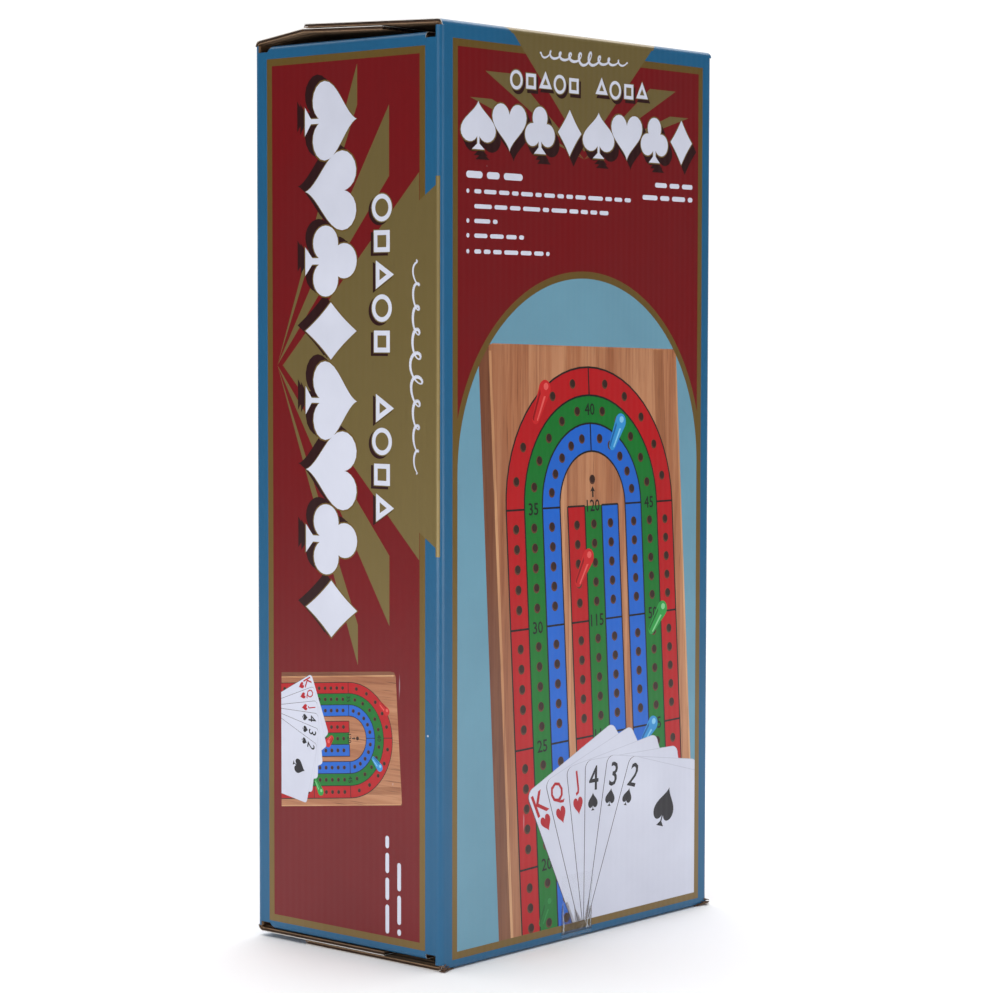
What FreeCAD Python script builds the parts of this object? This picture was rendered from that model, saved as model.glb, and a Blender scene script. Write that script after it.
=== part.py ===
"""A boxed three-track cribbage set, standing on its small end, in millimetres.

A printed E-flute carton holds a solid wooden cribbage board, nine pegs stored in the board's
back under a swivelling cover, a boxed deck of cards and a rules leaflet. The origin is on the
surface the carton stands on, at the centre of its footprint. The wide printed front faces -Y,
+X is to the right of someone who looks at that front, and +Z is up.
"""
import FreeCAD, Part
import math
import os

V = FreeCAD.Vector

# ---------------------------------------------------------------- carton
CARTON_W = 167.0          # outside width, left to right
CARTON_D = 99.0           # outside depth, front to back
CARTON_H = 356.0          # height over the creases of the front panel
STOCK = 1.5               # caliper of the corrugated board
CORNER_R = 2.6            # outside radius of the four upright corners
CREASE_R = 2.4            # outside radius of the flap creases
LAYER_GAP = 0.3           # air between flaps that lie on each other
SIDE_DROP = 0.8           # how much lower the dust flaps' crease sits at the top
FLAP_SIDE_INSET = 0.8     # raw edge of a full-width flap, in from the carton's side
OUTER_FLAP_L = 70.0       # straight length of the outer flaps, past the crease
OUTER_FLAP_RISE = 2.4     # degrees that the sprung top outer flap slopes up to the back
INNER_FLAP_L = 66.5       # straight length of the inner flaps, past the crease
INNER_ROOT_L = 24.0       # part of the top inner flap between its crease and its kink
DUST_FLAP_L = 31.5        # straight length of the dust flaps, past the crease
DUST_ROOT_INSET = 5.0     # set-back of a dust flap's edges at its crease
DUST_TAPER_OUTER = 0.16   # how fast the edge beside the outer flap's crease tapers
DUST_TAPER_INNER = 0.62   # how fast the edge beside the inner flap's crease tapers
GLUE_TAB_W = 30.0         # maker's joint inside the back left corner
GLUE_TAB_INSET = 12.0     # how much shorter the tab is than the panel, each end

# ---------------------------------------------------------------- closing tape
TAPE_W = 19.0
TAPE_T = 0.1
TAPE_X = -3.0             # centre of the strip, across the front
TAPE_FRONT_H = 26.0       # how far it climbs the front panel
TAPE_TAIL = 18.0          # how far it runs on past the outer flap's free edge

# ---------------------------------------------------------------- cribbage board
BOARD_W = 90.0
BOARD_T = 17.0
BOARD_L = 311.0
BOARD_EDGE_R = 2.5        # round along the front face's edges
BOARD_CORNER_R = 4.0      # round at the four corners seen from the front
BOARD_LIFT = 0.3          # air under the board as it stands in the carton
BOARD_BEHIND_FRONT = 9.0  # from the front panel's inside to the board's painted face
LANES = 3
LANE_W = 8.1
TRACK_W = 80.0            # outside width of the painted track
TRACK_TOP_MARGIN = 6.0    # board end to the top arch's outside
GROUPS = 7                # groups of five holes on a straight side
GROUP_PITCH = 33.2
HOLES_PER_GROUP = 5
HOLE_SPACING = 5.6        # between holes of one group
HOLE_D = 3.0
HOLE_DEPTH = 7.0
START_HOLES = 3           # per lane, under the first group
FINISH_ABOVE_LINE = 7.5   # last hole, above the line that the top arch springs from
START_BELOW_LINE = 3.92   # first start hole, below the lowest group
ARCH_SPREAD = 1.07        # top arch's hole spacing against the straight sides' share

# ---------------------------------------------------------------- pegs and their store
PEG_L = 25.0
PEG_TIP_D = 2.8
PEG_SHANK_L = 7.0
PEG_HEAD_D = 5.8
PEG_TIP_CHAMFER = 0.4
PEG_ROWS = 2
PEG_COLUMNS = 5
PEG_CLEARANCE = 0.3       # air between stored pegs, and round them
PEG_COLOURS = ("red", "green", "blue")
PEGS_PER_COLOUR = 3
STORE_BASE = 222.0        # lower end of the store, up from the board's lower end
STORE_CORNER_R = 3.0
COVER_T = 0.8
COVER_LAP = 3.0           # cover past the store, left, right and below
PIVOT_ABOVE_STORE = 6.0
COVER_PAST_PIVOT = 6.0
COVER_CORNER_R = 6.0
SCREW_D = 3.0
SCREW_L = 9.0
SCREW_HEAD_D = 7.0
SCREW_HEAD_T = 1.0
SCREW_HEAD_R = 0.6        # round of the head's rim
SCREW_SLOT_W = 0.9
COVER_HOLE_CLEARANCE = 0.2

# ---------------------------------------------------------------- corrugated insert
INSERT_H = 300.0
INSERT_BACK_GAP = 1.8     # from the board's back to the insert, room for cover and screw
INSERT_SIDE_GAP = 0.7     # insert to the carton's side walls and glue tab
INSERT_BEND_R = 2.4
TAB_LEVELS = (24.0, 74.0)  # lower ends of the board's locating tabs
TAB_H = 28.0
TAB_REACH = 15.0
TAB_CLEARANCE = 0.8       # tab to the board's side
DIVIDER_H = 118.0
DIVIDER_CLEARANCE = 0.6   # card box to the insert and to the divider
DIVIDER_SIDE_GAP = 3.0

# ---------------------------------------------------------------- cards and leaflet
CARD_W = 63.5
CARD_H = 88.9
CARD_T = 0.29
CARD_PITCH = 0.31
CARD_CORNER_R = 3.2
CARD_COUNT = 52
CARD_BOX_WALL = 0.5
CARD_BOX_FIT = 0.4        # air round the deck inside its box
LEAFLET_W = 140.0
LEAFLET_H = 216.0
LEAF_T = 0.2
LEAF_GAP = 0.3            # air between the two leaves
LEAFLET_BEHIND_FRONT = 0.5

# ---------------------------------------------------------------- levels that follow
LAYER = STOCK + LAYER_GAP
HALF_W = CARTON_W / 2
HALF_D = CARTON_D / 2
BASE = TAPE_T                               # underside of the bottom outer flap
TOP = BASE + CARTON_H
FRONT_LOW = BASE + CREASE_R                 # ends of the front panel
FRONT_HIGH = TOP - CREASE_R
BACK_LOW = BASE + LAYER + CREASE_R
BACK_HIGH = TOP - LAYER - CREASE_R
SIDE_LOW = BASE + 2 * LAYER + CREASE_R
SIDE_HIGH = TOP - 2 * LAYER - SIDE_DROP - CREASE_R
FLOOR = BASE + 2 * LAYER + STOCK            # upper side of the bottom dust flaps
BOARD_BASE = FLOOR + BOARD_LIFT
BOARD_FRONT_Y = -HALF_D + STOCK + BOARD_BEHIND_FRONT
BOARD_BACK_Y = BOARD_FRONT_Y + BOARD_T
PEG_PITCH = PEG_HEAD_D + PEG_CLEARANCE
STORE_W = PEG_COLUMNS * PEG_PITCH + PEG_CLEARANCE
STORE_L = PEG_ROWS * (PEG_L + PEG_CLEARANCE) + PEG_CLEARANCE
STORE_DEPTH = PEG_HEAD_D + 2 * PEG_CLEARANCE
STORE_LOW = BOARD_BASE + STORE_BASE
PIVOT_Z = STORE_LOW + STORE_L + PIVOT_ABOVE_STORE
INSERT_FRONT_Y = BOARD_BACK_Y + COVER_T + INSERT_BACK_GAP
INSERT_HALF_W = HALF_W - 2 * STOCK - INSERT_SIDE_GAP
INSERT_BACK_Y = HALF_D - STOCK - INSERT_SIDE_GAP
DECK_T = (CARD_COUNT - 1) * CARD_PITCH + CARD_T
CARD_BOX_W = CARD_W + 2 * (CARD_BOX_WALL + CARD_BOX_FIT)
CARD_BOX_H = CARD_H + 2 * (CARD_BOX_WALL + CARD_BOX_FIT)
CARD_BOX_T = DECK_T + 2 * (CARD_BOX_WALL + CARD_BOX_FIT)
CARD_BOX_Y = INSERT_FRONT_Y + STOCK + DIVIDER_CLEARANCE
DIVIDER_Y = CARD_BOX_Y + CARD_BOX_T + DIVIDER_CLEARANCE


# ---------------------------------------------------------------- helpers
def box(x0, x1, y0, y1, z0, z1):
    """Block between two opposite corners."""
    return Part.makeBox(x1 - x0, y1 - y0, z1 - z0, V(x0, y0, z0))


def polygon_face(points):
    """Flat face inside a closed outline of straight edges."""
    return Part.Face(Part.makePolygon(list(points) + [points[0]]))


def arc_edge(first, middle, last):
    """Circular edge through three points."""
    return Part.Arc(first, middle, last).toShape()


def line_edge(first, last):
    """Straight edge between two points."""
    return Part.LineSegment(first, last).toShape()


def slope_vectors(degrees):
    """Unit run direction and unit outward normal, as (inward, outward) pairs."""
    angle = math.radians(degrees)
    return (math.cos(angle), math.sin(angle)), (-math.sin(angle), math.cos(angle))


def flap_face(place, runs, thickness=STOCK, radius=CREASE_R):
    """Section of a flap: the crease's quarter round, then straight runs of board.

    place(inward, outward) turns distances from the crease's hinge line, which lies on the
    panel's outside at its end, into a point. runs lists (slope in degrees, length) pairs.
    """
    _, normal = slope_vectors(runs[0][0])
    middle_angle = math.radians(180 - (90 - runs[0][0]) / 2)

    def on_crease(distance, direction):
        return place(radius + distance * direction[0], distance * direction[1])

    middle = (math.cos(middle_angle), math.sin(middle_angle))
    inside = radius - thickness
    outer = [(radius + radius * normal[0], radius * normal[1])]
    inner = [(radius + inside * normal[0], inside * normal[1])]
    for index, (slope, length) in enumerate(runs):
        along, normal = slope_vectors(slope)
        outer.append((outer[-1][0] + along[0] * length, outer[-1][1] + along[1] * length))
        following = runs[min(index + 1, len(runs) - 1)][0]
        _, next_normal = slope_vectors(following)
        bisector = (normal[0] + next_normal[0], normal[1] + next_normal[1])
        size = math.hypot(*bisector)
        half_turn = math.radians(following - slope) / 2
        reach = thickness / math.cos(half_turn) / size
        inner.append((outer[-1][0] - bisector[0] * reach, outer[-1][1] - bisector[1] * reach))
    outer_points = [place(*point) for point in outer]
    inner_points = [place(*point) for point in inner]
    edges = [arc_edge(place(0, 0), on_crease(radius, middle), outer_points[0])]
    edges += [line_edge(a, b) for a, b in zip(outer_points, outer_points[1:])]
    edges.append(line_edge(outer_points[-1], inner_points[-1]))
    edges += [line_edge(b, a) for a, b in reversed(list(zip(inner_points, inner_points[1:])))]
    edges.append(arc_edge(inner_points[0], on_crease(inside, middle), place(thickness, 0)))
    edges.append(line_edge(place(thickness, 0), place(0, 0)))
    return Part.Face(Part.Wire(edges))


def wide_flap(place, runs):
    """Flap across the carton's width; place is given for the left end of the crease."""
    return flap_face(place, runs).extrude(V(CARTON_W - 2 * FLAP_SIDE_INSET, 0, 0))


def rounded_plate(width, height, depth, radius, centre):
    """Plate in the XZ plane with rounded corners, depth running in +Y from its centre."""
    x, z = width / 2, height / 2
    plate = box(-x, x, 0, depth, -z, z)
    corners = [e for e in plate.Edges if abs(e.tangentAt(e.FirstParameter).y) > 0.99]
    plate = plate.makeFillet(radius, corners)
    plate.translate(centre)
    return plate


def channel(half_width, y_face, y_legs, radius, low, high):
    """Upright channel of bent board: a face at y_face and two legs that end at y_legs."""
    back = 1 if y_legs > y_face else -1
    inner_r = radius - STOCK
    turn = math.sqrt(0.5)
    y_bend = y_face + back * radius
    x_bend = half_width - radius

    def corner(distance, hand):
        return V(hand * (x_bend + distance * turn), y_bend - back * distance * turn, low)

    outside = [V(-half_width, y_legs, low), V(-half_width, y_bend, low), corner(radius, -1),
               V(-x_bend, y_face, low), V(x_bend, y_face, low), corner(radius, 1),
               V(half_width, y_bend, low), V(half_width, y_legs, low)]
    x_in, y_in = half_width - STOCK, y_face + back * STOCK
    inside = [V(x_in, y_legs, low), V(x_in, y_bend, low), corner(inner_r, 1),
              V(x_bend, y_in, low), V(-x_bend, y_in, low), corner(inner_r, -1),
              V(-x_in, y_bend, low), V(-x_in, y_legs, low)]
    edges = []
    for run in (outside, inside):
        edges += [line_edge(run[0], run[1])] if y_legs != y_bend else []
        edges += [arc_edge(*run[1:4]), line_edge(run[3], run[4]), arc_edge(*run[4:7])]
        edges += [line_edge(run[6], run[7])] if y_legs != y_bend else []
    edges += [line_edge(outside[-1], inside[0]), line_edge(inside[-1], outside[0])]
    wire = Part.Wire(Part.__sortEdges__(edges))
    return Part.Face(wire).extrude(V(0, 0, high - low))


# ---------------------------------------------------------------- carton
def wrapped_panel(side, low, high):
    """Front (side -1) or back (side +1) panel with the two upright corners it turns into."""
    y_face = side * HALF_D
    return channel(HALF_W, y_face, y_face - side * CORNER_R, CORNER_R, low, high)


def side_panel(side):
    """Left (side -1) or right (side +1) panel, flat between the upright corners."""
    x0, x1 = sorted((side * HALF_W, side * (HALF_W - STOCK)))
    half = HALF_D - CORNER_R
    return box(x0, x1, -half, half, SIDE_LOW, SIDE_HIGH)


def glue_tab():
    """Maker's joint: a strip glued inside the left panel, next to the back corner."""
    x0 = -HALF_W + STOCK
    y1 = HALF_D - CORNER_R
    return box(x0, x0 + STOCK, y1 - GLUE_TAB_W, y1,
               SIDE_LOW + GLUE_TAB_INSET, SIDE_HIGH - GLUE_TAB_INSET)


def outer_flap(top):
    """Flap creased off the front panel; the top one is sprung a little open."""
    x0 = -HALF_W + FLAP_SIDE_INSET
    if top:
        return wide_flap(lambda u, w: V(x0, -HALF_D + u, FRONT_HIGH + w),
                         [(OUTER_FLAP_RISE, OUTER_FLAP_L)])
    return wide_flap(lambda u, w: V(x0, -HALF_D + u, FRONT_LOW - w), [(0.0, OUTER_FLAP_L)])


def inner_flap(top):
    """Flap creased off the back panel; the top one kinks where the outer flap ends."""
    x0 = -HALF_W + FLAP_SIDE_INSET
    if not top:
        return wide_flap(lambda u, w: V(x0, HALF_D - u, BACK_LOW - w), [(0.0, INNER_FLAP_L)])
    outer_drop = OUTER_FLAP_L * math.sin(math.radians(OUTER_FLAP_RISE))
    root_slope = math.degrees(math.asin(outer_drop / INNER_ROOT_L))
    runs = [(root_slope, INNER_ROOT_L), (-OUTER_FLAP_RISE, INNER_FLAP_L - INNER_ROOT_L)]
    return wide_flap(lambda u, w: V(x0, HALF_D - u, BACK_HIGH + w), runs)


def dust_flap(side, top):
    """Side flap under the inner flap, tapered so that it clears both wide flaps."""
    z_crease = SIDE_HIGH if top else SIDE_LOW
    up = 1 if top else -1
    half = HALF_D - CORNER_R
    face = flap_face(lambda u, w: V(side * (HALF_W - u), -half, z_crease + up * w),
                     [(0.0, DUST_FLAP_L)])
    blank = face.extrude(V(0, 2 * half, 0))
    length = CREASE_R + DUST_FLAP_L
    front_root = -half + DUST_ROOT_INSET
    back_root = half - DUST_ROOT_INSET
    x_root, x_tip = side * HALF_W, side * (HALF_W - length - STOCK)
    z_low = z_crease - 2 * CREASE_R
    reach = length + STOCK
    outline = polygon_face([
        V(x_root, front_root, z_low),
        V(x_tip, front_root + DUST_TAPER_OUTER * reach, z_low),
        V(x_tip, back_root - DUST_TAPER_INNER * reach, z_low),
        V(x_root, back_root, z_low),
    ])
    return blank.common(outline.extrude(V(0, 0, 4 * CREASE_R)))


def closing_tape():
    """Clear strip up the front, round the crease and along the underside over the seam."""
    x0 = TAPE_X - TAPE_W / 2
    outer_r, turn = CREASE_R + TAPE_T, math.sqrt(0.5)
    y_face = -HALF_D
    y_centre, z_centre = y_face + CREASE_R, FRONT_LOW
    seam = y_centre + OUTER_FLAP_L
    step = seam + 2 * LAYER

    def at(y, z):
        return V(x0, y, z)

    def on_round(radius):
        return at(y_centre - radius * turn, z_centre - radius * turn)

    edges = [
        line_edge(at(y_face, TAPE_FRONT_H), at(y_face - TAPE_T, TAPE_FRONT_H)),
        line_edge(at(y_face - TAPE_T, TAPE_FRONT_H), at(y_face - TAPE_T, z_centre)),
        arc_edge(at(y_face - TAPE_T, z_centre), on_round(outer_r), at(y_centre, 0)),
        line_edge(at(y_centre, 0), at(seam, 0)),
        line_edge(at(seam, 0), at(step, LAYER)),
        line_edge(at(step, LAYER), at(step + TAPE_TAIL, LAYER)),
        line_edge(at(step + TAPE_TAIL, LAYER), at(step + TAPE_TAIL, LAYER + TAPE_T)),
        line_edge(at(step + TAPE_TAIL, LAYER + TAPE_T), at(step, LAYER + TAPE_T)),
        line_edge(at(step, LAYER + TAPE_T), at(seam, TAPE_T)),
        line_edge(at(seam, TAPE_T), at(y_centre, TAPE_T)),
        arc_edge(at(y_centre, TAPE_T), on_round(CREASE_R), at(y_face, z_centre)),
        line_edge(at(y_face, z_centre), at(y_face, TAPE_FRONT_H)),
    ]
    return Part.Face(Part.Wire(edges)).extrude(V(TAPE_W, 0, 0))


# ---------------------------------------------------------------- insert
def insert_platform():
    """Channel behind the board, with tabs punched forward on both sides of the board."""
    low = FLOOR + BOARD_LIFT
    sheet = channel(INSERT_HALF_W, INSERT_FRONT_Y, INSERT_BACK_Y, INSERT_BEND_R,
                    low, low + INSERT_H)
    tab_x = BOARD_W / 2 + TAB_CLEARANCE
    for level in TAB_LEVELS:
        z0 = low + level
        for side in (-1, 1):
            x0, x1 = sorted((side * tab_x, side * (tab_x + STOCK)))
            w0, w1 = sorted((side * (tab_x + STOCK), side * (tab_x + STOCK + TAB_REACH)))
            tab = box(x0, x1, INSERT_FRONT_Y - TAB_REACH, INSERT_FRONT_Y + STOCK, z0, z0 + TAB_H)
            window = box(w0, w1, INSERT_FRONT_Y - STOCK, INSERT_FRONT_Y + 2 * STOCK,
                         z0, z0 + TAB_H)
            sheet = sheet.cut(window).fuse(tab)
    return sheet.removeSplitter()


def card_divider():
    """Low channel behind the card box, which keeps it against the insert."""
    low = FLOOR + BOARD_LIFT
    half_width = INSERT_HALF_W - STOCK - DIVIDER_SIDE_GAP
    return channel(half_width, DIVIDER_Y, INSERT_BACK_Y, INSERT_BEND_R, low, low + DIVIDER_H)


# ---------------------------------------------------------------- cribbage board
def group_offsets(first, pitch, spacing):
    """Places of the holes of one group that starts at first and is pitch long."""
    margin = (pitch - (HOLES_PER_GROUP - 1) * spacing) / 2
    return [first + margin + k * spacing for k in range(HOLES_PER_GROUP)]


def hole_places():
    """Every hole as (x, height above the board's lower end)."""
    half = TRACK_W / 2
    arch_z = BOARD_L - TRACK_TOP_MARGIN - half
    line_z = arch_z - GROUPS * GROUP_PITCH
    share = HOLE_SPACING / GROUP_PITCH
    return_x = (half - LANES * LANE_W / 2) / 2
    places = []
    for lane in range(LANES):
        out_r = half - (lane + 0.5) * LANE_W
        centre_x = -(LANES / 2 - lane - 0.5) * LANE_W
        turn_r = out_r - return_x
        for group in range(GROUPS):
            for z in group_offsets(line_z + group * GROUP_PITCH, GROUP_PITCH, HOLE_SPACING):
                places += [(-out_r, z), (out_r, z), (centre_x, z)]
        for quarter in range(2):
            for angle in group_offsets(90.0 * quarter, 90.0, 90.0 * share * ARCH_SPREAD):
                a = math.radians(angle)
                places.append((-out_r * math.cos(a), arch_z + out_r * math.sin(a)))
        for angle in group_offsets(0.0, 180.0, 180.0 / HOLES_PER_GROUP):
            a = math.radians(angle)
            places.append((return_x + turn_r * math.cos(a), line_z - turn_r * math.sin(a)))
        for start in range(START_HOLES):
            places.append((-out_r, line_z - START_BELOW_LINE - start * HOLE_SPACING))
    places.append((0.0, arch_z + FINISH_ABOVE_LINE))
    return places


def cribbage_board():
    """Solid board with rounded face edges, blind peg holes and the peg store in its back."""
    x, z0, z1 = BOARD_W / 2, BOARD_BASE, BOARD_BASE + BOARD_L
    blank = box(-x, x, BOARD_FRONT_Y, BOARD_BACK_Y, z0, z1)
    corners = [e for e in blank.Edges if abs(e.tangentAt(e.FirstParameter).y) > 0.99]
    blank = blank.makeFillet(BOARD_CORNER_R, corners)
    rim = [e for e in blank.Edges
           if all(abs(v.Point.y - BOARD_FRONT_Y) < 1e-6 for v in e.Vertexes)]
    blank = blank.makeFillet(BOARD_EDGE_R, rim)
    drills = [Part.makeCylinder(HOLE_D / 2, HOLE_DEPTH + 1, V(px, BOARD_FRONT_Y - 1, z0 + pz),
                                V(0, 1, 0)) for px, pz in hole_places()]
    store = rounded_plate(STORE_W, STORE_L, STORE_DEPTH + 1, STORE_CORNER_R,
                          V(0, BOARD_BACK_Y - STORE_DEPTH, STORE_LOW + STORE_L / 2))
    pilot = Part.makeCylinder(SCREW_D / 2, SCREW_L, V(0, BOARD_BACK_Y, PIVOT_Z), V(0, -1, 0))
    return blank.cut(Part.Compound(drills)).cut(store).cut(pilot)


def peg(x, y, z, tip_up):
    """Round peg lying upright at its centre line; tip_up turns its thin end to the top."""
    tip, head = PEG_TIP_D / 2, PEG_HEAD_D / 2
    shoulder = PEG_L - head
    turn = math.sqrt(0.5)
    edges = [
        line_edge(V(0, 0, 0), V(tip - PEG_TIP_CHAMFER, 0, 0)),
        line_edge(V(tip - PEG_TIP_CHAMFER, 0, 0), V(tip, 0, PEG_TIP_CHAMFER)),
        line_edge(V(tip, 0, PEG_TIP_CHAMFER), V(tip, 0, PEG_SHANK_L)),
        line_edge(V(tip, 0, PEG_SHANK_L), V(head, 0, shoulder)),
        arc_edge(V(head, 0, shoulder), V(head * turn, 0, shoulder + head * turn), V(0, 0, PEG_L)),
        line_edge(V(0, 0, PEG_L), V(0, 0, 0)),
    ]
    solid = Part.Face(Part.Wire(edges)).revolve(V(0, 0, 0), V(0, 0, 1), 360)
    solid.translate(V(0, 0, -PEG_L / 2))
    if tip_up:
        solid.rotate(V(0, 0, 0), V(1, 0, 0), 180)
    solid.translate(V(x, y, z))
    return solid


def stored_pegs():
    """Name and solid of each peg, in the store's columns from the left and rows from below."""
    y = BOARD_BACK_Y - STORE_DEPTH + PEG_CLEARANCE + PEG_HEAD_D / 2
    pegs = {}
    for index in range(len(PEG_COLOURS) * PEGS_PER_COLOUR):
        column, row = index % PEG_COLUMNS, index // PEG_COLUMNS
        x = (column - (PEG_COLUMNS - 1) / 2) * PEG_PITCH
        z = STORE_LOW + PEG_CLEARANCE + PEG_L / 2 + row * (PEG_L + PEG_CLEARANCE)
        name = f"peg_{PEG_COLOURS[index // PEGS_PER_COLOUR]}_{index % PEGS_PER_COLOUR + 1}"
        pegs[name] = peg(x, y, z, tip_up=column % 2 == 1)
    return pegs


def storage_cover():
    """Thin plate over the store that swings on the screw at its upper end."""
    low = STORE_LOW - COVER_LAP
    high = PIVOT_Z + COVER_PAST_PIVOT
    plate = rounded_plate(STORE_W + 2 * COVER_LAP, high - low, COVER_T, COVER_CORNER_R,
                          V(0, BOARD_BACK_Y, (low + high) / 2))
    hole = Part.makeCylinder(SCREW_D / 2 + COVER_HOLE_CLEARANCE, COVER_T + 2,
                             V(0, BOARD_BACK_Y - 1, PIVOT_Z), V(0, 1, 0))
    return plate.cut(hole)


def cover_screw():
    """Slotted pan-head screw through the cover into the board."""
    head_y = BOARD_BACK_Y + COVER_T
    shank = Part.makeCylinder(SCREW_D / 2, SCREW_L + COVER_T, V(0, head_y, PIVOT_Z), V(0, -1, 0))
    head = Part.makeCylinder(SCREW_HEAD_D / 2, SCREW_HEAD_T, V(0, head_y, PIVOT_Z), V(0, 1, 0))
    rim = [e for e in head.Edges if e.CenterOfMass.y > head_y + SCREW_HEAD_T - 1e-6]
    head = head.makeFillet(SCREW_HEAD_R, rim)
    slot = box(-SCREW_HEAD_D, SCREW_HEAD_D, head_y + SCREW_HEAD_T / 2, head_y + 2 * SCREW_HEAD_T,
               PIVOT_Z - SCREW_SLOT_W / 2, PIVOT_Z + SCREW_SLOT_W / 2)
    return shank.fuse(head.cut(slot)).removeSplitter()


# ---------------------------------------------------------------- cards and leaflet
def card_box():
    """Closed tuck box of thin card, standing on the floor behind the insert."""
    x, low = CARD_BOX_W / 2, FLOOR + BOARD_LIFT
    outer = box(-x, x, CARD_BOX_Y, CARD_BOX_Y + CARD_BOX_T, low, low + CARD_BOX_H)
    w = CARD_BOX_WALL
    inner = box(-x + w, x - w, CARD_BOX_Y + w, CARD_BOX_Y + CARD_BOX_T - w,
                low + w, low + CARD_BOX_H - w)
    return outer.cut(inner)


def playing_cards():
    """Deck of separate cards, stacked front to back inside the tuck box."""
    y0 = CARD_BOX_Y + CARD_BOX_WALL + CARD_BOX_FIT
    z = FLOOR + BOARD_LIFT + CARD_BOX_WALL + CARD_BOX_FIT + CARD_H / 2
    return Part.Compound([
        rounded_plate(CARD_W, CARD_H, CARD_T, CARD_CORNER_R, V(0, y0 + k * CARD_PITCH, z))
        for k in range(CARD_COUNT)])


def rules_leaflet():
    """One sheet folded once, standing between the front panel and the board."""
    x0, x1 = -LEAFLET_W / 2, LEAFLET_W / 2
    y0 = -HALF_D + STOCK + LEAFLET_BEHIND_FRONT
    low = FLOOR + BOARD_LIFT
    outer_r = LEAF_T + LEAF_GAP / 2
    inner_r = LEAF_GAP / 2
    y_mid = y0 + outer_r
    edges = [
        line_edge(V(x1, y0, low), V(x0 + outer_r, y0, low)),
        arc_edge(V(x0 + outer_r, y0, low), V(x0, y_mid, low), V(x0 + outer_r, y_mid + outer_r, low)),
        line_edge(V(x0 + outer_r, y_mid + outer_r, low), V(x1, y_mid + outer_r, low)),
        line_edge(V(x1, y_mid + outer_r, low), V(x1, y_mid + inner_r, low)),
        line_edge(V(x1, y_mid + inner_r, low), V(x0 + outer_r, y_mid + inner_r, low)),
        arc_edge(V(x0 + outer_r, y_mid + inner_r, low), V(x0 + LEAF_T, y_mid, low),
                 V(x0 + outer_r, y_mid - inner_r, low)),
        line_edge(V(x0 + outer_r, y_mid - inner_r, low), V(x1, y_mid - inner_r, low)),
        line_edge(V(x1, y_mid - inner_r, low), V(x1, y0, low)),
    ]
    return Part.Face(Part.Wire(edges)).extrude(V(0, 0, LEAFLET_H))


# ---------------------------------------------------------------- all the pieces
def all_pieces():
    """Node name to shape."""
    pieces = {
        "front_panel": wrapped_panel(-1, FRONT_LOW, FRONT_HIGH),
        "back_panel": wrapped_panel(1, BACK_LOW, BACK_HIGH),
        "left_panel": side_panel(-1),
        "right_panel": side_panel(1),
        "glue_tab": glue_tab(),
        "top_outer_flap": outer_flap(True),
        "top_inner_flap": inner_flap(True),
        "bottom_outer_flap": outer_flap(False),
        "bottom_inner_flap": inner_flap(False),
        "closing_tape": closing_tape(),
        "insert_platform": insert_platform(),
        "card_divider": card_divider(),
        "card_box": card_box(),
        "playing_cards": playing_cards(),
        "rules_leaflet": rules_leaflet(),
        "cribbage_board": cribbage_board(),
        "storage_cover": storage_cover(),
        "cover_screw": cover_screw(),
    }
    for name, side in (("left", -1), ("right", 1)):
        pieces[f"top_dust_flap_{name}"] = dust_flap(side, True)
        pieces[f"bottom_dust_flap_{name}"] = dust_flap(side, False)
    pieces.update(stored_pegs())
    return pieces


def main():
    """Writes one STEP file for each piece."""
    os.makedirs("parts", exist_ok=True)
    for name, shape in all_pieces().items():
        if not shape.isValid():
            raise ValueError(f"{name} is not a valid shape")
        shape.exportStep(f"parts/{name}.step")
        print(f"{name}: {len(shape.Solids)} solid(s), {shape.Volume / 1000:.2f} cm3")


main()
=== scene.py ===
"""Looks of the boxed cribbage set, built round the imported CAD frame.

Printed faces are drawn as layered vector shapes, in millimetres. Each face's shapes are cut into
one clean mesh, wrapped on the carton, and the ink's colour is stored on the mesh. Heights on the
carton are measured from its foot, and places across a face from the middle of that face.
"""
import math
import random

import bpy
import bmesh
import numpy as np
from mathutils import Matrix, Vector
from mathutils.geometry import delaunay_2d_cdt


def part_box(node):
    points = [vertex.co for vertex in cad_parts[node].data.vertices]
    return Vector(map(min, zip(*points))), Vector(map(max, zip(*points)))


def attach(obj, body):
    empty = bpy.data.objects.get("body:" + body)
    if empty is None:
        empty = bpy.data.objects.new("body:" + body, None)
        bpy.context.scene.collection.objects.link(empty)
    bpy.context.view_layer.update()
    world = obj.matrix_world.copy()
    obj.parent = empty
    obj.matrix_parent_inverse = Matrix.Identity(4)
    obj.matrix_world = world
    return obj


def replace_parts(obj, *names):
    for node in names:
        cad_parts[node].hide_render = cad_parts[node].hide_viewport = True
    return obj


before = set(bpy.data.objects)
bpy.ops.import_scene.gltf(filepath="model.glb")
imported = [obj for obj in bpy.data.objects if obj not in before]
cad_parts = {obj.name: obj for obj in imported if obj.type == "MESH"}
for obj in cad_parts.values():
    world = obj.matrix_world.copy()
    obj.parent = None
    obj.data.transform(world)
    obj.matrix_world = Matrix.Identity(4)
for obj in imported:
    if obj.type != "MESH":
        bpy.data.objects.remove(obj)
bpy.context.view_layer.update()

MM = 0.001
DICE = random.Random(7)

# ---------------------------------------------------------------- sizes, in metres
PANEL_LOW, PANEL_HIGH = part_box("front_panel")
SIDE_LOW, SIDE_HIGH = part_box("left_panel")
REAR_LOW, REAR_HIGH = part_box("back_panel")
HALF_W = PANEL_HIGH.x
HALF_D = -PANEL_LOW.y
STOCK = SIDE_HIGH.x - SIDE_LOW.x
CORNER_R = PANEL_HIGH.y - PANEL_LOW.y
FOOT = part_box("bottom_outer_flap")[0].z
CREASE_R = PANEL_LOW.z - FOOT
FLUTE_PITCH = 3.5 * MM
BOARD_LOW, BOARD_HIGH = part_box("cribbage_board")

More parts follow.
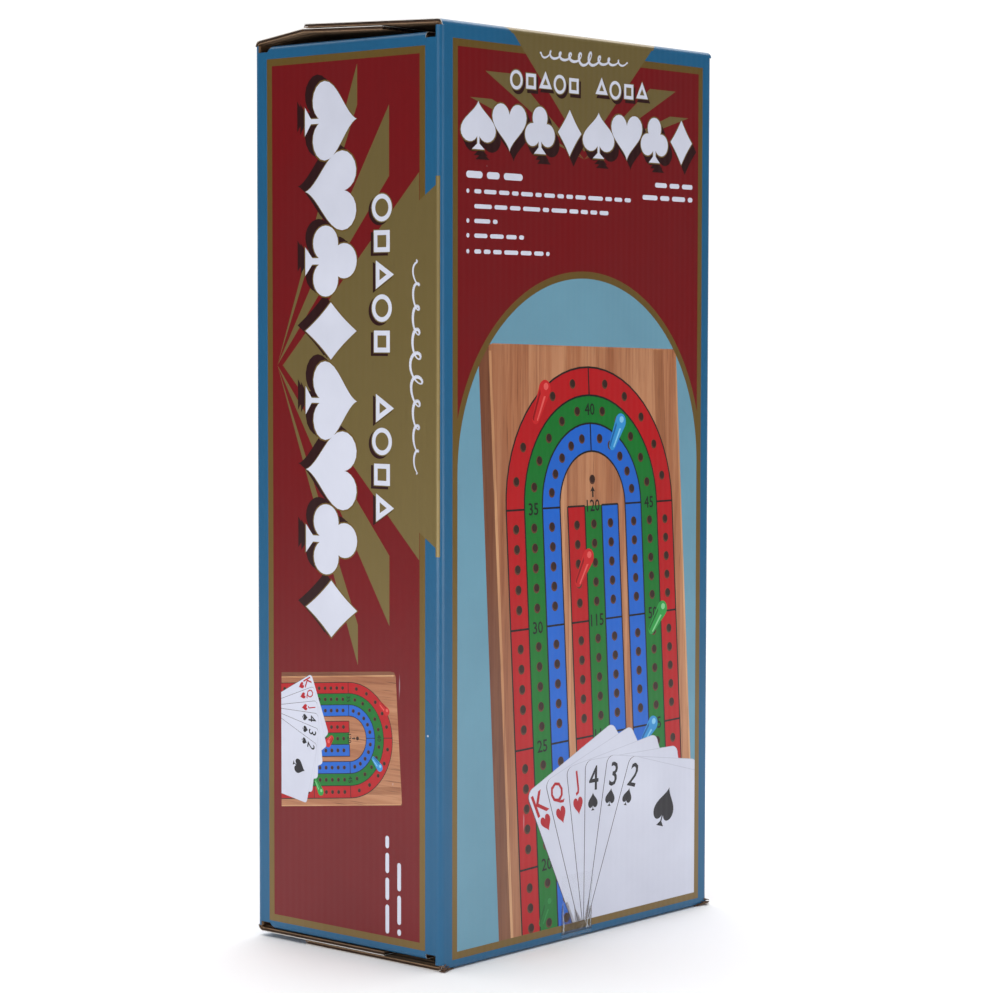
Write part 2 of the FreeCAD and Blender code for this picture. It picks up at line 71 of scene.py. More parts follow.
# ---------------------------------------------------------------- the printed track, in millimetres
LANE_W = 8.1
TRACK_HALF = 40.0
TRACK_TOP = 6.0
GROUPS = 7
GROUP_PITCH = 33.2
HOLE_SPACING = 5.6
HOLE_R = 1.5
BORDER = 0.55
INMOST = TRACK_HALF - 3 * LANE_W + 0.01     # the innermost border, a hair outside its lane's edge
RETURN_X = (TRACK_HALF - 1.5 * LANE_W) / 2
SPRING_Y = TRACK_TOP + TRACK_HALF
FOOT_Y = SPRING_Y + GROUPS * GROUP_PITCH
TRACK_END = FOOT_Y + 3.4 * HOLE_SPACING

# ---------------------------------------------------------------- inks
# Red, green and blue as displayed, then the kind: 0 is plain ink, 0.5 gold and 1 printed oak.
BLUE = (30, 92, 131, 0)
GOLD = (96, 74, 30, 0.5)
BANNER = (104, 90, 52, 0.5)
RED = (112, 12, 18, 0)
TEAL = (106, 152, 172, 0)
WHITE = (212, 215, 229, 0)
SHADOW = (42, 10, 12, 0)
BLACK = (24, 20, 22, 0)
OAK = (190, 134, 96, 1)
OAK_SIDE = (132, 84, 56, 1)
OAK_EDGE = (212, 164, 120, 1)
CARD = (207, 210, 225, 0)
CARD_LINE = (72, 68, 78, 0)
CARD_SHADE = (186, 189, 205, 0)
PIP_RED = (172, 22, 34, 0)
PIP_BLACK = (34, 32, 38, 0)
HOLE = (50, 28, 22, 0)
HOLE_LIT = (92, 56, 40, 0)
LANES = ((176, 20, 26, 0), (18, 112, 40, 0), (30, 98, 196, 0))
PEG_INKS = {
    "red": ((196, 34, 36, 0), (222, 92, 88, 0), (138, 14, 18, 0)),
    "green": ((44, 150, 66, 0), (128, 200, 138, 0), (14, 96, 34, 0)),
    "blue": ((52, 142, 204, 0), (132, 196, 230, 0), (22, 92, 160, 0)),
    "shaded": ((24, 112, 46, 0), (42, 132, 62, 0), (16, 92, 36, 0)),
}


# ---------------------------------------------------------------- outlines
def circle(x, y, radius, steps=24):
    """Closed loop round a centre."""
    return [(x + radius * math.cos(2 * math.pi * k / steps),
             y + radius * math.sin(2 * math.pi * k / steps)) for k in range(steps)]


def arc(x, y, radius, start, end, steps):
    """Points of an arc, angles in degrees from +X."""
    return [(x + radius * math.cos(math.radians(start + (end - start) * k / steps)),
             y + radius * math.sin(math.radians(start + (end - start) * k / steps)))
            for k in range(steps + 1)]


def rectangle(x0, x1, y0, y1):
    """Closed loop of an upright rectangle."""
    return [(x0, y0), (x1, y0), (x1, y1), (x0, y1)]


def bar(x0, x1, y, height):
    """Loop of a bar with round ends, standing in for a word."""
    r = height / 2
    x0, x1 = x0 + r, max(x1 - r, x0 + 1.2 * r)
    return arc(x1, y, r, -90, 90, 5) + arc(x0, y, r, 90, 270, 5)


def stroke(path, width):
    """Closed loop of a line of the given width, or of a list of widths, along a path."""
    points = [Vector(p) for p in path]
    widths = width if isinstance(width, list) else [width] * len(points)
    left, right = [], []
    for k, p in enumerate(points):
        along = (points[min(k + 1, len(points) - 1)] - points[max(k - 1, 0)]).normalized()
        side = Vector((-along.y, along.x)) * widths[k] / 2
        left.append(tuple(p + side))
        right.append(tuple(p - side))
    return left + right[::-1]


def shifted(loops, dx, dy):
    """The same loops, moved."""
    return [[(x + dx, y + dy) for x, y in loop] for loop in loops]


def turned(loops, x, y, degrees, scale=1.0):
    """Loops drawn about the origin, scaled, turned and put at a place."""
    c, s = math.cos(math.radians(degrees)) * scale, math.sin(math.radians(degrees)) * scale
    return [[(x + c * px - s * py, y + s * px + c * py) for px, py in loop] for loop in loops]


def heart(size, grow=0.0):
    """Heart about the origin, size tall."""
    k = (size + 2 * grow) / 29.0
    loop = []
    for step in range(40):
        t = 2 * math.pi * step / 40
        y = 13 * math.cos(t) - 5 * math.cos(2 * t) - 2 * math.cos(3 * t) - math.cos(4 * t)
        loop.append((16 * math.sin(t) ** 3 * k, (y + 2.5) * k))
    return [loop]


def spade(size, grow=0.0):
    """Spade about the origin, size tall."""
    body = [(-x * 1.0, -y * 0.86 + size * 0.08) for x, y in heart(size, grow)[0]]
    foot, waist, low = size * 0.2 + grow, size * 0.035 + grow * 0.8, -size * 0.5 - grow
    stem = [(-foot, low), (-waist, low + size * 0.12), (-waist, 0), (waist, 0),
            (waist, low + size * 0.12), (foot, low)]
    return [body, stem]


def club(size, grow=0.0):
    """Club about the origin, size tall."""
    r = size * 0.245 + grow
    foot, waist, low = size * 0.2 + grow, size * 0.045 + grow * 0.8, -size * 0.5 - grow
    stem = [(-foot, low), (-waist, low + size * 0.14), (-waist, size * 0.1),
            (waist, size * 0.1), (waist, low + size * 0.14), (foot, low)]
    return [circle(0, size * 0.26, r), circle(-size * 0.25, -size * 0.1, r),
            circle(size * 0.25, -size * 0.1, r), stem]


def diamond(size, grow=0.0):
    """Diamond about the origin, size tall, with slightly hollow sides."""
    h, w = size / 2 + grow * 1.3, size * 0.4 + grow * 1.3
    loop = []
    for x0, y0, x1, y1 in ((0, h, w, 0), (w, 0, 0, -h), (0, -h, -w, 0), (-w, 0, 0, h)):
        for k in range(6):
            t = k / 6
            pinch = 1 - 0.22 * t * (1 - t)
            loop.append(((x0 + (x1 - x0) * t) * pinch, (y0 + (y1 - y0) * t) * pinch))
    return [loop]


SUITS = {"spade": spade, "heart": heart, "club": club, "diamond": diamond}


def glyphs(text, height, bold=0.0):
    """Outline segments of generic figures or card letters, centred on the origin."""
    data = bpy.data.curves.new("glyph", "FONT")
    data.body = text
    data.size = 1.0
    data.resolution_u = 2
    data.offset = bold
    data.align_x = "CENTER"
    thing = bpy.data.objects.new("glyph", data)
    bpy.context.scene.collection.objects.link(thing)
    bpy.context.view_layer.update()
    mesh = thing.evaluated_get(bpy.context.evaluated_depsgraph_get()).to_mesh()
    uses = {}
    for face in mesh.polygons:
        for edge in face.edge_keys:
            uses[edge] = uses.get(edge, 0) + 1
    points = [(v.co.x, v.co.y) for v in mesh.vertices]
    rim = [edge for edge, count in uses.items() if count == 1]
    ys = [p[1] for p in points]
    xs = [p[0] for p in points]
    scale = height / (max(ys) - min(ys))
    mx, my = (max(xs) + min(xs)) / 2, (max(ys) + min(ys)) / 2
    segments = [tuple(((points[i][0] - mx) * scale, (points[i][1] - my) * scale) for i in edge)
                for edge in rim]
    bpy.data.objects.remove(thing)
    bpy.data.curves.remove(data)
    return segments


# ---------------------------------------------------------------- layered drawings
def loop_segments(loops):
    """Array of x0, y0, x1, y1 for every side of the loops."""
    rows = [(*loop[k - 1], *loop[k]) for loop in loops for k in range(len(loop))]
    return np.array(rows, float)


def inside(segments, points):
    """Even-odd test of points against closed outlines given as segments."""
    x0, y0, x1, y1 = (segments[:, k][:, None] for k in range(4))
    px, py = points[:, 0][None, :], points[:, 1][None, :]
    crosses = (y0 > py) != (y1 > py)
    with np.errstate(divide="ignore", invalid="ignore"):
        at = (x1 - x0) * (py - y0) / (y1 - y0) + x0
    return (crosses & (px < at)).sum(0) % 2 == 1


class Drawing:
    """Shapes laid over each other; put moves a shape's points onto the printed face."""

    def __init__(self):
        self.layers = []
        self.put = lambda x, y: (x, y)
        self.clip = None

    def add(self, loops, ink):
        """Lays each closed loop over what is there."""
        for loop in loops:
            self.add_segments([(loop[k - 1], loop[k]) for k in range(len(loop))], ink)

    def add_segments(self, segments, ink):
        """Lays a shape given as loose sides."""
        rows = [(*self.put(*a), *self.put(*b)) for a, b in segments]
        self.layers.append((np.array(rows, float), ink, self.clip))


def triangulate(outline, layers, guides=()):
    """Points, triangles and each triangle's ink (None where a layer cuts a hole)."""
    keys, points, edges = {}, [], []

    def index(x, y):
        key = (round(x, 3), round(y, 3))
        if key not in keys:
            keys[key] = len(points)
            points.append(Vector(key))
        return keys[key]

    def add_edge(a, b):
        if a != b:
            edges.append((a, b))

    base = loop_segments([outline])
    low, high = base[:, :2].min(0) - 0.01, base[:, :2].max(0) + 0.01
    for segments in [base] + [layer[0] for layer in layers]:
        for x0, y0, x1, y1 in segments:
            if max(x0, x1) < low[0] or min(x0, x1) > high[0]:
                continue
            if max(y0, y1) < low[1] or min(y0, y1) > high[1]:
                continue
            add_edge(index(x0, y0), index(x1, y1))
    for (x0, y0), (x1, y1) in guides:
        add_edge(index(x0, y0), index(x1, y1))
    found, _, faces, *_ = delaunay_2d_cdt(points, edges, [], 0, 1e-5)
    co = np.array([tuple(p) for p in found])
    tris = np.array([list(f) for f in faces], int)
    mid = co[tris].mean(1)
    keep = inside(base, mid)
    tris, mid = tris[keep], mid[keep]
    ink = np.full(len(tris), -1, int)
    for number, (segments, _, clip) in enumerate(layers):
        x_low, y_low = segments[:, (0, 2)].min(), segments[:, (1, 3)].min()
        x_high, y_high = segments[:, (0, 2)].max(), segments[:, (1, 3)].max()
        near = np.where((mid[:, 0] > x_low) & (mid[:, 0] < x_high)
                        & (mid[:, 1] > y_low) & (mid[:, 1] < y_high))[0]
        if len(near) == 0:
            continue
        hit = inside(segments, mid[near])
        if clip is not None and hit.any():
            hit &= inside(clip, mid[near])
        ink[near[hit]] = number
    return co, tris, ink


def compact(co, tris):
    """The same triangles with the points that none of them uses left out."""
    used, renumbered = np.unique(tris, return_inverse=True)
    return co[used], renumbered.reshape(tris.shape)


def boundary(tris):
    """Sides that belong to one triangle only, in that triangle's direction."""
    sides = {}
    for a, b, c in tris:
        for pair in ((a, b), (b, c), (c, a)):
            sides[pair] = True
    return [pair for pair in sides if (pair[1], pair[0]) not in sides]


def linear(value):
    """Display value of one colour channel, 0 to 255, as linear light."""
    v = value / 255
    return v / 12.92 if v <= 0.04045 else ((v + 0.055) / 1.055) ** 2.4


def new_piece(name, points, faces, materials, face_materials=None, inks=None):
    """Mesh object with material slots and, where inks are given, the ink on each face."""
    mesh = bpy.data.meshes.new(name)
    mesh.from_pydata([tuple(p) for p in points], [], [tuple(f) for f in faces])
    for material in materials:
        mesh.materials.append(material)
    if face_materials is not None:
        mesh.polygons.foreach_set("material_index", np.array(face_materials, np.int32))
    if inks is not None:
        attribute = mesh.color_attributes.new("Ink", "FLOAT_COLOR", "CORNER")
        counts = np.array([len(f) for f in faces])
        rows = np.array([(linear(r), linear(g), linear(b), k) for r, g, b, k in inks])
        attribute.data.foreach_set("color", np.repeat(rows, counts, 0).astype(np.float32).ravel())
    mesh.update()
    thing = bpy.data.objects.new(name, mesh)
    bpy.context.scene.collection.objects.link(thing)
    return thing


def outward_normals(thing):
    """Makes every closed island's faces point out."""
    work = bmesh.new()
    work.from_mesh(thing.data)
    bmesh.ops.recalc_face_normals(work, faces=work.faces)
    work.to_mesh(thing.data)
    work.free()


def wrapped_sheet(name, outline, drawing, ground, wrap, thickness, materials, guides=(),
                  rim_slot=1):
    """Closed sheet of board: the drawing outside, plain inside, bent through wrap(x, y, depth)."""
    layers = drawing.layers if drawing else []
    co, tris, number = triangulate(outline, layers, guides)
    solid = np.array([k < 0 or layers[k][1] is not None for k in number])
    tris, number = tris[solid], number[solid]
    co, tris = compact(co, tris)
    rim = boundary(tris)
    used = sorted({k for pair in rim for k in pair})
    rim_points = [Vector(co[k]) for k in used]
    place = {k: i for i, k in enumerate(used)}
    rim_edges = [(place[a], place[b]) for a, b in rim]
    bends = {}
    for guide in guides:
        ends = [min(range(len(used)), key=lambda i: (rim_points[i] - Vector(p)).length)
                for p in guide]
        bends[tuple(ends)] = True
    back_co, _, back_faces, *_ = delaunay_2d_cdt(rim_points, rim_edges + list(bends), [], 0, 1e-5)
    back = np.array([list(f) for f in back_faces], int)
    flat = np.array([tuple(p) for p in back_co])
    segments = np.array([(*co[a], *co[b]) for a, b in rim])
    back = back[inside(segments, flat[back].mean(1))]
    front_points = [wrap(x, y, 0.0) for x, y in co]
    back_points = [wrap(x, y, thickness) for x, y in flat]
    shift = len(front_points)
    match = {k: shift + place[k] for k in used}
    faces = [tuple(t) for t in tris]
    faces += [tuple(shift + k for k in t[::-1]) for t in back]
    faces += [(b, a, match[a], match[b]) for a, b in rim]
    inks = [layers[k][1] if k >= 0 else ground for k in number]
    inks += [ground] * (len(back) + len(rim))
    slots = [0] * len(tris) + [1] * len(back) + [rim_slot] * len(rim)
    thing = new_piece(name, front_points + back_points, faces, materials, slots, inks)
    outward_normals(thing)
    return thing


# ---------------------------------------------------------------- the board's face, drawn flat
def lane_path(radius, steps):
    """Middle line of a lane: up the left, over the arch, down, round and up the middle."""
    turn = radius - RETURN_X
    path = [(-radius, TRACK_END), (-radius, SPRING_Y)]
    path += [(x, SPRING_Y - y) for x, y in arc(0, 0, radius, 180, 0, steps)[1:]]
    path.append((radius, FOOT_Y))
    path += [(RETURN_X + x, FOOT_Y + y) for x, y in arc(0, 0, turn, 0, 180, steps // 2)[1:]]
    path.append((RETURN_X - turn, SPRING_Y))
    return path


def hole_groups(first, last, spacing, count=5):
    """Places of a group's holes, evenly spaced about the group's middle."""
    middle = (first + last) / 2
    return [middle + (k - (count - 1) / 2) * spacing for k in range(count)]


def track_holes():
    """Every hole of the board as (across, down from the top end)."""
    holes = [(0.0, SPRING_Y - 7.5)]
    arch_spacing = 90.0 * HOLE_SPACING / GROUP_PITCH * 1.07
    for lane in range(3):
        radius = TRACK_HALF - (lane + 0.5) * LANE_W
        turn = radius - RETURN_X
        for group in range(GROUPS):
            top = SPRING_Y + group * GROUP_PITCH
            for y in hole_groups(top, top + GROUP_PITCH, HOLE_SPACING):
                holes += [(-radius, y), (radius, y), (RETURN_X - turn, y)]
        for start in (0.0, 90.0):
            for angle in hole_groups(start, start + 90.0, arch_spacing):
                a = math.radians(angle)
                holes.append((-radius * math.cos(a), SPRING_Y - radius * math.sin(a)))
        for angle in hole_groups(0.0, 180.0, 36.0):
            a = math.radians(angle)
            holes.append((RETURN_X + turn * math.cos(a), FOOT_Y + turn * math.sin(a)))
        holes += [(-radius, FOOT_Y + (k + 0.7) * HOLE_SPACING) for k in range(3)]
    return holes


def track_labels():
    """Text, place and height of the numbers on the green lane."""
    radius = TRACK_HALF - 1.5 * LANE_W
    turn = radius - RETURN_X
    labels = [("40", 0.0, SPRING_Y - radius)]
    for group in range(GROUPS):
        y = SPRING_Y + group * GROUP_PITCH
        labels.append((str(35 - 5 * group), -radius, y))
        labels.append((str(45 + 5 * group), radius, y))
        labels.append((str(120 - 5 * group), RETURN_X - turn, y))
    labels.append(("80", radius, FOOT_Y))
    labels.append(("85", RETURN_X - turn, FOOT_Y))
    return labels


def draw_track(drawing, steps, reach, holes_cut):
    """Lanes, borders, numbers and holes of the board down to reach from its top end."""
    for lane, ink in enumerate(LANES):
        radius = TRACK_HALF - (lane + 0.5) * LANE_W
        drawing.add([stroke(lane_path(radius, steps), LANE_W)], ink)
    for radius in (TRACK_HALF, TRACK_HALF - LANE_W, TRACK_HALF - 2 * LANE_W, INMOST):
        drawing.add([stroke(lane_path(radius, steps), BORDER)], BLACK)
    for lane in (0, 2):
        outer, inner = TRACK_HALF - lane * LANE_W, TRACK_HALF - (lane + 1) * LANE_W
        for group in range(GROUPS + 1):
            y = SPRING_Y + group * GROUP_PITCH
            if y > reach:
                continue
            spans = [(-outer, -inner), (inner, outer), (RETURN_X - (outer - RETURN_X),
                                                        RETURN_X - (inner - RETURN_X))]
            drawing.add([rectangle(x0, x1, y - BORDER / 2, y + BORDER / 2)
                         for x0, x1 in spans], BLACK)
        drawing.add([rectangle(-BORDER / 2, BORDER / 2, SPRING_Y - outer, SPRING_Y - inner)],
                    BLACK)
    if TRACK_END < reach:
        drawing.add([rectangle(-TRACK_HALF, 3 * LANE_W - TRACK_HALF, TRACK_END - BORDER / 2,
                               TRACK_END + BORDER / 2)], BLACK)
    shaft, head = 0.35, 1.15
    drawing.add([[(-shaft, SPRING_Y - 2.4), (-shaft, SPRING_Y - 4.2), (-head, SPRING_Y - 4.0),
                  (0, SPRING_Y - 5.6), (head, SPRING_Y - 4.0), (shaft, SPRING_Y - 4.2),
                  (shaft, SPRING_Y - 2.4)]], BLACK)
    for text, x, y in track_labels():
        if y > reach:
            continue
        segments = [((x + ax, y - ay), (x + bx, y - by)) for (ax, ay), (bx, by)
                    in glyphs(text, 3.5, 0.012)]
        drawing.add_segments(segments, BLACK)
    for x, y in track_holes():
        if y > reach:
            continue
        if holes_cut:
            drawing.add([circle(x, y, HOLE_R + 0.06, 20)], None)
        else:
            drawing.add([circle(x, y, HOLE_R * 0.95, 12)], HOLE_LIT)
            drawing.add([circle(x + 0.15, y - 0.2, HOLE_R * 0.76, 12)], HOLE)


# ---------------------------------------------------------------- pictures printed on the carton
def projective(corners, width, height):
    """Map of a width by height rectangle, top edge first, onto four printed corners."""
    flat = [(-width / 2, 0), (width / 2, 0), (width / 2, height), (-width / 2, height)]
    rows, right = [], []
    for (x, y), (u, v) in zip(flat, corners):
        rows.append([x, y, 1, 0, 0, 0, -x * u, -y * u])
        rows.append([0, 0, 0, x, y, 1, -x * v, -y * v])
        right += [u, v]
    a, b, c, d, e, f, g, h = np.linalg.solve(np.array(rows, float), np.array(right, float))

    def put(x, y):
        scale = g * x + h * y + 1
        return (a * x + b * y + c) / scale, (d * x + e * y + f) / scale
    return put


def draw_peg(drawing, colour, foot, head, width):
    """A peg seen standing in its hole: body, dark core, lit side and highlight."""
    body, light, dark = PEG_INKS[colour]
    foot, head = Vector(foot), Vector(head)
    along = (head - foot).normalized()
    side = Vector((-along.y, along.x))
    angle = math.degrees(math.atan2(along.y, along.x))

    def tapered(scale, shift):
        low, high = foot + side * shift, head + side * shift
        near, far = width * 0.3 * scale, width * 0.5 * scale
        return (arc(high.x, high.y, far, angle - 90, angle + 90, 10)
                + arc(low.x, low.y, near, angle + 90, angle + 270, 6))

    drawing.add([tapered(1.0, 0.0)], body)
    drawing.add([tapered(0.5, width * 0.12)], dark)
    drawing.add([tapered(0.5, -width * 0.02)], body)
    drawing.add([tapered(0.16, -width * 0.17)], light)
    drawing.add([circle(head.x, head.y, width * 0.4, 14)], body)
    drawing.add([circle(head.x + width * 0.1, head.y + width * 0.14, width * 0.2, 10)], light)


def draw_board_picture(drawing, put, reach, side_width):
    """The wooden board in perspective, with its side, edges, grain, track and holes."""
    half, round_off = 45.0, 2.0
    plain = drawing.put
    drawing.put = put
    face = (arc(-half + round_off, round_off, round_off, 180, 270, 4)
            + arc(half - round_off, round_off, round_off, 270, 360, 4)
            + [(half, reach), (-half, reach)])
    silhouette = ([(-half - side_width, reach), (-half - side_width * 0.85, 5)]
                  + [(-half - side_width * 0.6, 1.2), (-half + 2, 0)] + [(half, 0), (half, reach)])
    drawing.add([silhouette], OAK_SIDE)
    drawing.add([face], OAK)
    staves = [(-45, -38, (178, 122, 86, 1)), (-24, -12, (197, 142, 104, 1)),
              (4, 13, (183, 126, 88, 1)), (33, 38, (166, 110, 74, 1))]
    for x0, x1, ink in staves:
        drawing.add([[(x0, 0.4), (x1, 0.4), (x1, reach), (x0, reach)]], ink)
    drawing.add([[(-half, 2), (-half + 1.1, 2), (-half + 1.1, reach), (-half, reach)]], OAK_EDGE)
    drawing.add([[(half - 0.8, 1), (half, 1), (half, reach), (half - 0.8, reach)]], OAK_EDGE)
    draw_track(drawing, 30, reach, False)
    drawing.put = plain


# Each card's letter and suit, its near and far top corners, and the foot of its near edge.
FAN = (("K", "heart", (-33.8, 61.5), (19.7, 83.8), -6.5),
       ("Q", "heart", (-22.6, 64.8), (31.8, 81.3), -2.6),
       ("J", "heart", (-9.6, 68.6), (48.3, 76.0), 0.3),
       ("4", "spade", (2.3, 70.2), (62.3, 69.6), 1.5),
       ("3", "spade", (16.5, 70.9), (76.0, 62.2), 3.6),
       ("2", "spade", (31.2, 69.1), (87.0, 54.6), 4.8))
FAN_FOOT = 8.2


def narrowed(loops):
    """Loops foreshortened across, as a card lying away from the viewer shows its pips."""
    return [[(x * 0.72, y) for x, y in loop] for loop in loops]


def draw_fan(drawing):
    """Six overlapping cards, whose left edges draw together towards their feet."""
    card_w, r = 57.0, 3.4
    for letter, suit, near, far, foot_x in FAN:
        corner, foot = Vector(near), Vector((foot_x, FAN_FOOT))
        across = Vector((far[0] - near[0], far[1] - near[1])) / card_w
        up = (corner - foot).normalized()
        length = (corner - foot).length * 1.35

        def on_card(loops):
            return [[tuple(corner + across * x + up * y) for x, y in loop] for loop in loops]

        for left, grow, ink in ((0.0, 0.25, CARD_SHADE), (0.38, 0.0, CARD_LINE), (0.0, 0.0, CARD)):
            card = (arc(card_w - r, -r, r + grow, 0, 90, 5)
                    + arc(r - left, -r, r + grow, 90, 180, 5)
                    + [(-left - grow, -length), (card_w * 1.36 + grow, -length)])
            drawing.add(on_card([card]), ink)
        ink = PIP_RED if suit == "heart" else PIP_BLACK
        x, y = 5.0, -7.4
        segments = [[(a[0] * 0.85 + x, a[1] + y), (b[0] * 0.85 + x, b[1] + y)]
                    for a, b in glyphs(letter, 9.8, 0.01)]
        drawing.add_segments([tuple(pair) for pair in on_card(segments)], ink)
        drawing.add(on_card(shifted(narrowed(SUITS[suit](7.2)), x - 0.4, y - 9.4)), ink)
    drawing.add(on_card(shifted(narrowed(spade(16.5)), 30.2, -17.6)), PIP_BLACK)


def draw_words(drawing, x0, x1, y, height, ink):
    """A line of small print as plain bars of word lengths."""
    x = x0
    while x < x1 - height:
        length = min(DICE.uniform(2.2, 6.5) * height, x1 - x)
        drawing.add([bar(x, x + length, y, height)], ink)
        x += length + height * 0.9


def draw_title(drawing, symbol, gap, y, lean=(1.0, -1.5)):
    """Eight big outlined card suits in a row, with a gold outline and a dark shadow."""
    names = ["spade", "heart", "club", "diamond"] * 2
    places = [((k - 3.5) * gap, y, SUITS[name]) for k, name in enumerate(names)]
    for depth in (1.0, 0.55):
        for x, high, shape in places:
            drawing.add(shifted(shape(symbol, 0.5), x + lean[0] * 2.4 * depth,
                                high + lean[1] * 2.2 * depth), SHADOW)
    for x, high, shape in places:
        drawing.add(shifted(shape(symbol, 0.55), x, high), GOLD)
    for x, high, shape in places:
        drawing.add(shifted(shape(symbol), x, high), WHITE)


def draw_second_row(drawing, y, size, gap):
    """Five and four small hollow shapes with a gold outline and a shadow."""
    places = [k - 5.0 for k in range(5)] + [k + 1.0 for k in range(4)]
    for number, k in enumerate(places):
        x, r, wall = (k + 0.25) * gap, size / 2, size * 0.17
        sides = (28, 4, 3)[number % 3]
        turn = (0.0, 45.0, 90.0)[number % 3]
        grow = (1.0, 1.12, 1.2)[number % 3]

        def outline(radius):
            return turned([circle(0, 0, radius * grow, sides)], x, y, turn)

        drawing.add(shifted(outline(r + 0.45), 1.0, -1.3), SHADOW)
        drawing.add(outline(r + 0.45), BANNER)
        drawing.add(outline(r), WHITE)
        drawing.add(outline(r - wall * (1.0, 1.3, 1.8)[number % 3]), BANNER)


def draw_swash(drawing, y, half, rise):
    """Ornamental pen flourish: a running chain of slanted loops that thins to its ends."""
    path, widths = [], []
    loops, steps = 9, 198
    for k in range(steps + 1):
        t = k / steps
        phase = 2 * math.pi * loops * t
        swell = math.sin(math.pi * t) ** 0.4
        tall = 1.0 + 0.75 * math.cos(2 * math.pi * (t - 0.04)) ** 6
        high = rise * 0.62 * tall * swell * math.cos(phase)
        across = half * (2 * t - 1) - 0.075 * half * math.sin(phase) * swell
        path.append((across + high * 0.35, y + high))
        widths.append(0.45 + rise * 0.3 * abs(math.sin(phase / 2 + 0.6)) * swell)
    for k in range(steps):
        drawing.add([stroke(path[k:k + 2], widths[k:k + 2])], WHITE)


def draw_banner(drawing, tip_y, top_y, rays):
    """Gold wedge with its point down, and the pairs of rays that meet at its point."""
    half = top_y - tip_y
    for tip, inner, level in rays:
        for hand in (-1, 1):
            drawing.add([[(hand * tip, level), (hand * inner, level), (0, tip_y - 3)]], BANNER)
    drawing.add([[(-half, top_y), (half, top_y), (0, tip_y)]], BANNER)


FRAME_SIDE, FRAME_BAND, FRAME_FOOT, FRAME_TOP = 77.0, 2.8, 3.6, 349.2
BANNER_TIP = 311.0
SIDE_MIDDLE = 227.3
SIDE_BANNER_HALF = 70.8


def front_art():
    """The wide face: gold frame, title field, arch window with the board and the card fan."""
    art = Drawing()
    side, band = FRAME_SIDE, FRAME_BAND
    inner = side - band
    art.add([rectangle(-side, side, FRAME_FOOT, FRAME_TOP)], GOLD)
    field = rectangle(-inner, inner, FRAME_FOOT + band, FRAME_TOP - band)
    art.add([field], RED)
    spring = 187.2
    draw_banner(art, BANNER_TIP, 360.0, ((58.7, 41.7, 338.3), (67.4, 55.0, 328.0)))
    draw_swash(art, 347.2, 27.0, 2.6)
    draw_second_row(art, 336.2, 7.4, 8.6)
    draw_title(art, 18.0, 17.9, 317.8)
    draw_words(art, -69.5, -37.0, 299.3, 2.6, WHITE)
    lines = ((293.1, 29.6), (287.5, 17.2), (282.0, -51.6), (276.5, -36.2), (270.6, -20.9))
    for number, (y, end) in enumerate(lines):
        if number != 1:
            art.add([circle(-68.5, y, 0.85, 12)], WHITE)
        draw_words(art, -64.9, end, y, 1.6, WHITE)
    draw_words(art, 45.3, 70.4, 299.9, 1.9, WHITE)
    draw_words(art, 37.1, 70.4, 294.7, 1.9, WHITE)
    ring = (arc(0, spring, side, 0, 180, 72) + [(-side, FRAME_FOOT), (side, FRAME_FOOT)])
    art.add([ring], GOLD)
    window = (arc(0, spring, inner, 0, 180, 72)
              + [(-inner, FRAME_FOOT + band), (inner, FRAME_FOOT + band)])
    art.add([window], TEAL)
    art.clip = loop_segments([window])
    corners = ((-56.8, 236.2), (59.7, 233.5), (75.0, 8.5), (-43.0, 3.8))
    draw_board_picture(art, projective(corners, 90.0, 165.0), 180.0, 5.2)
    draw_peg(art, "red", (-29.0, 207.0), (-23.6, 218.4), 7.2)
    draw_peg(art, "blue", (18.4, 195.4), (23.6, 204.6), 6.8)
    draw_peg(art, "red", (-2.6, 142.0), (3.4, 151.4), 7.0)
    draw_peg(art, "green", (44.4, 119.4), (51.4, 127.4), 6.6)
    draw_peg(art, "blue", (40.0, 75.0), (45.6, 80.6), 6.4)
    draw_peg(art, "shaded", (-24.5, 9.5), (-20.5, 16.5), 6.0)
    draw_fan(art)
    art.clip = None
    return art


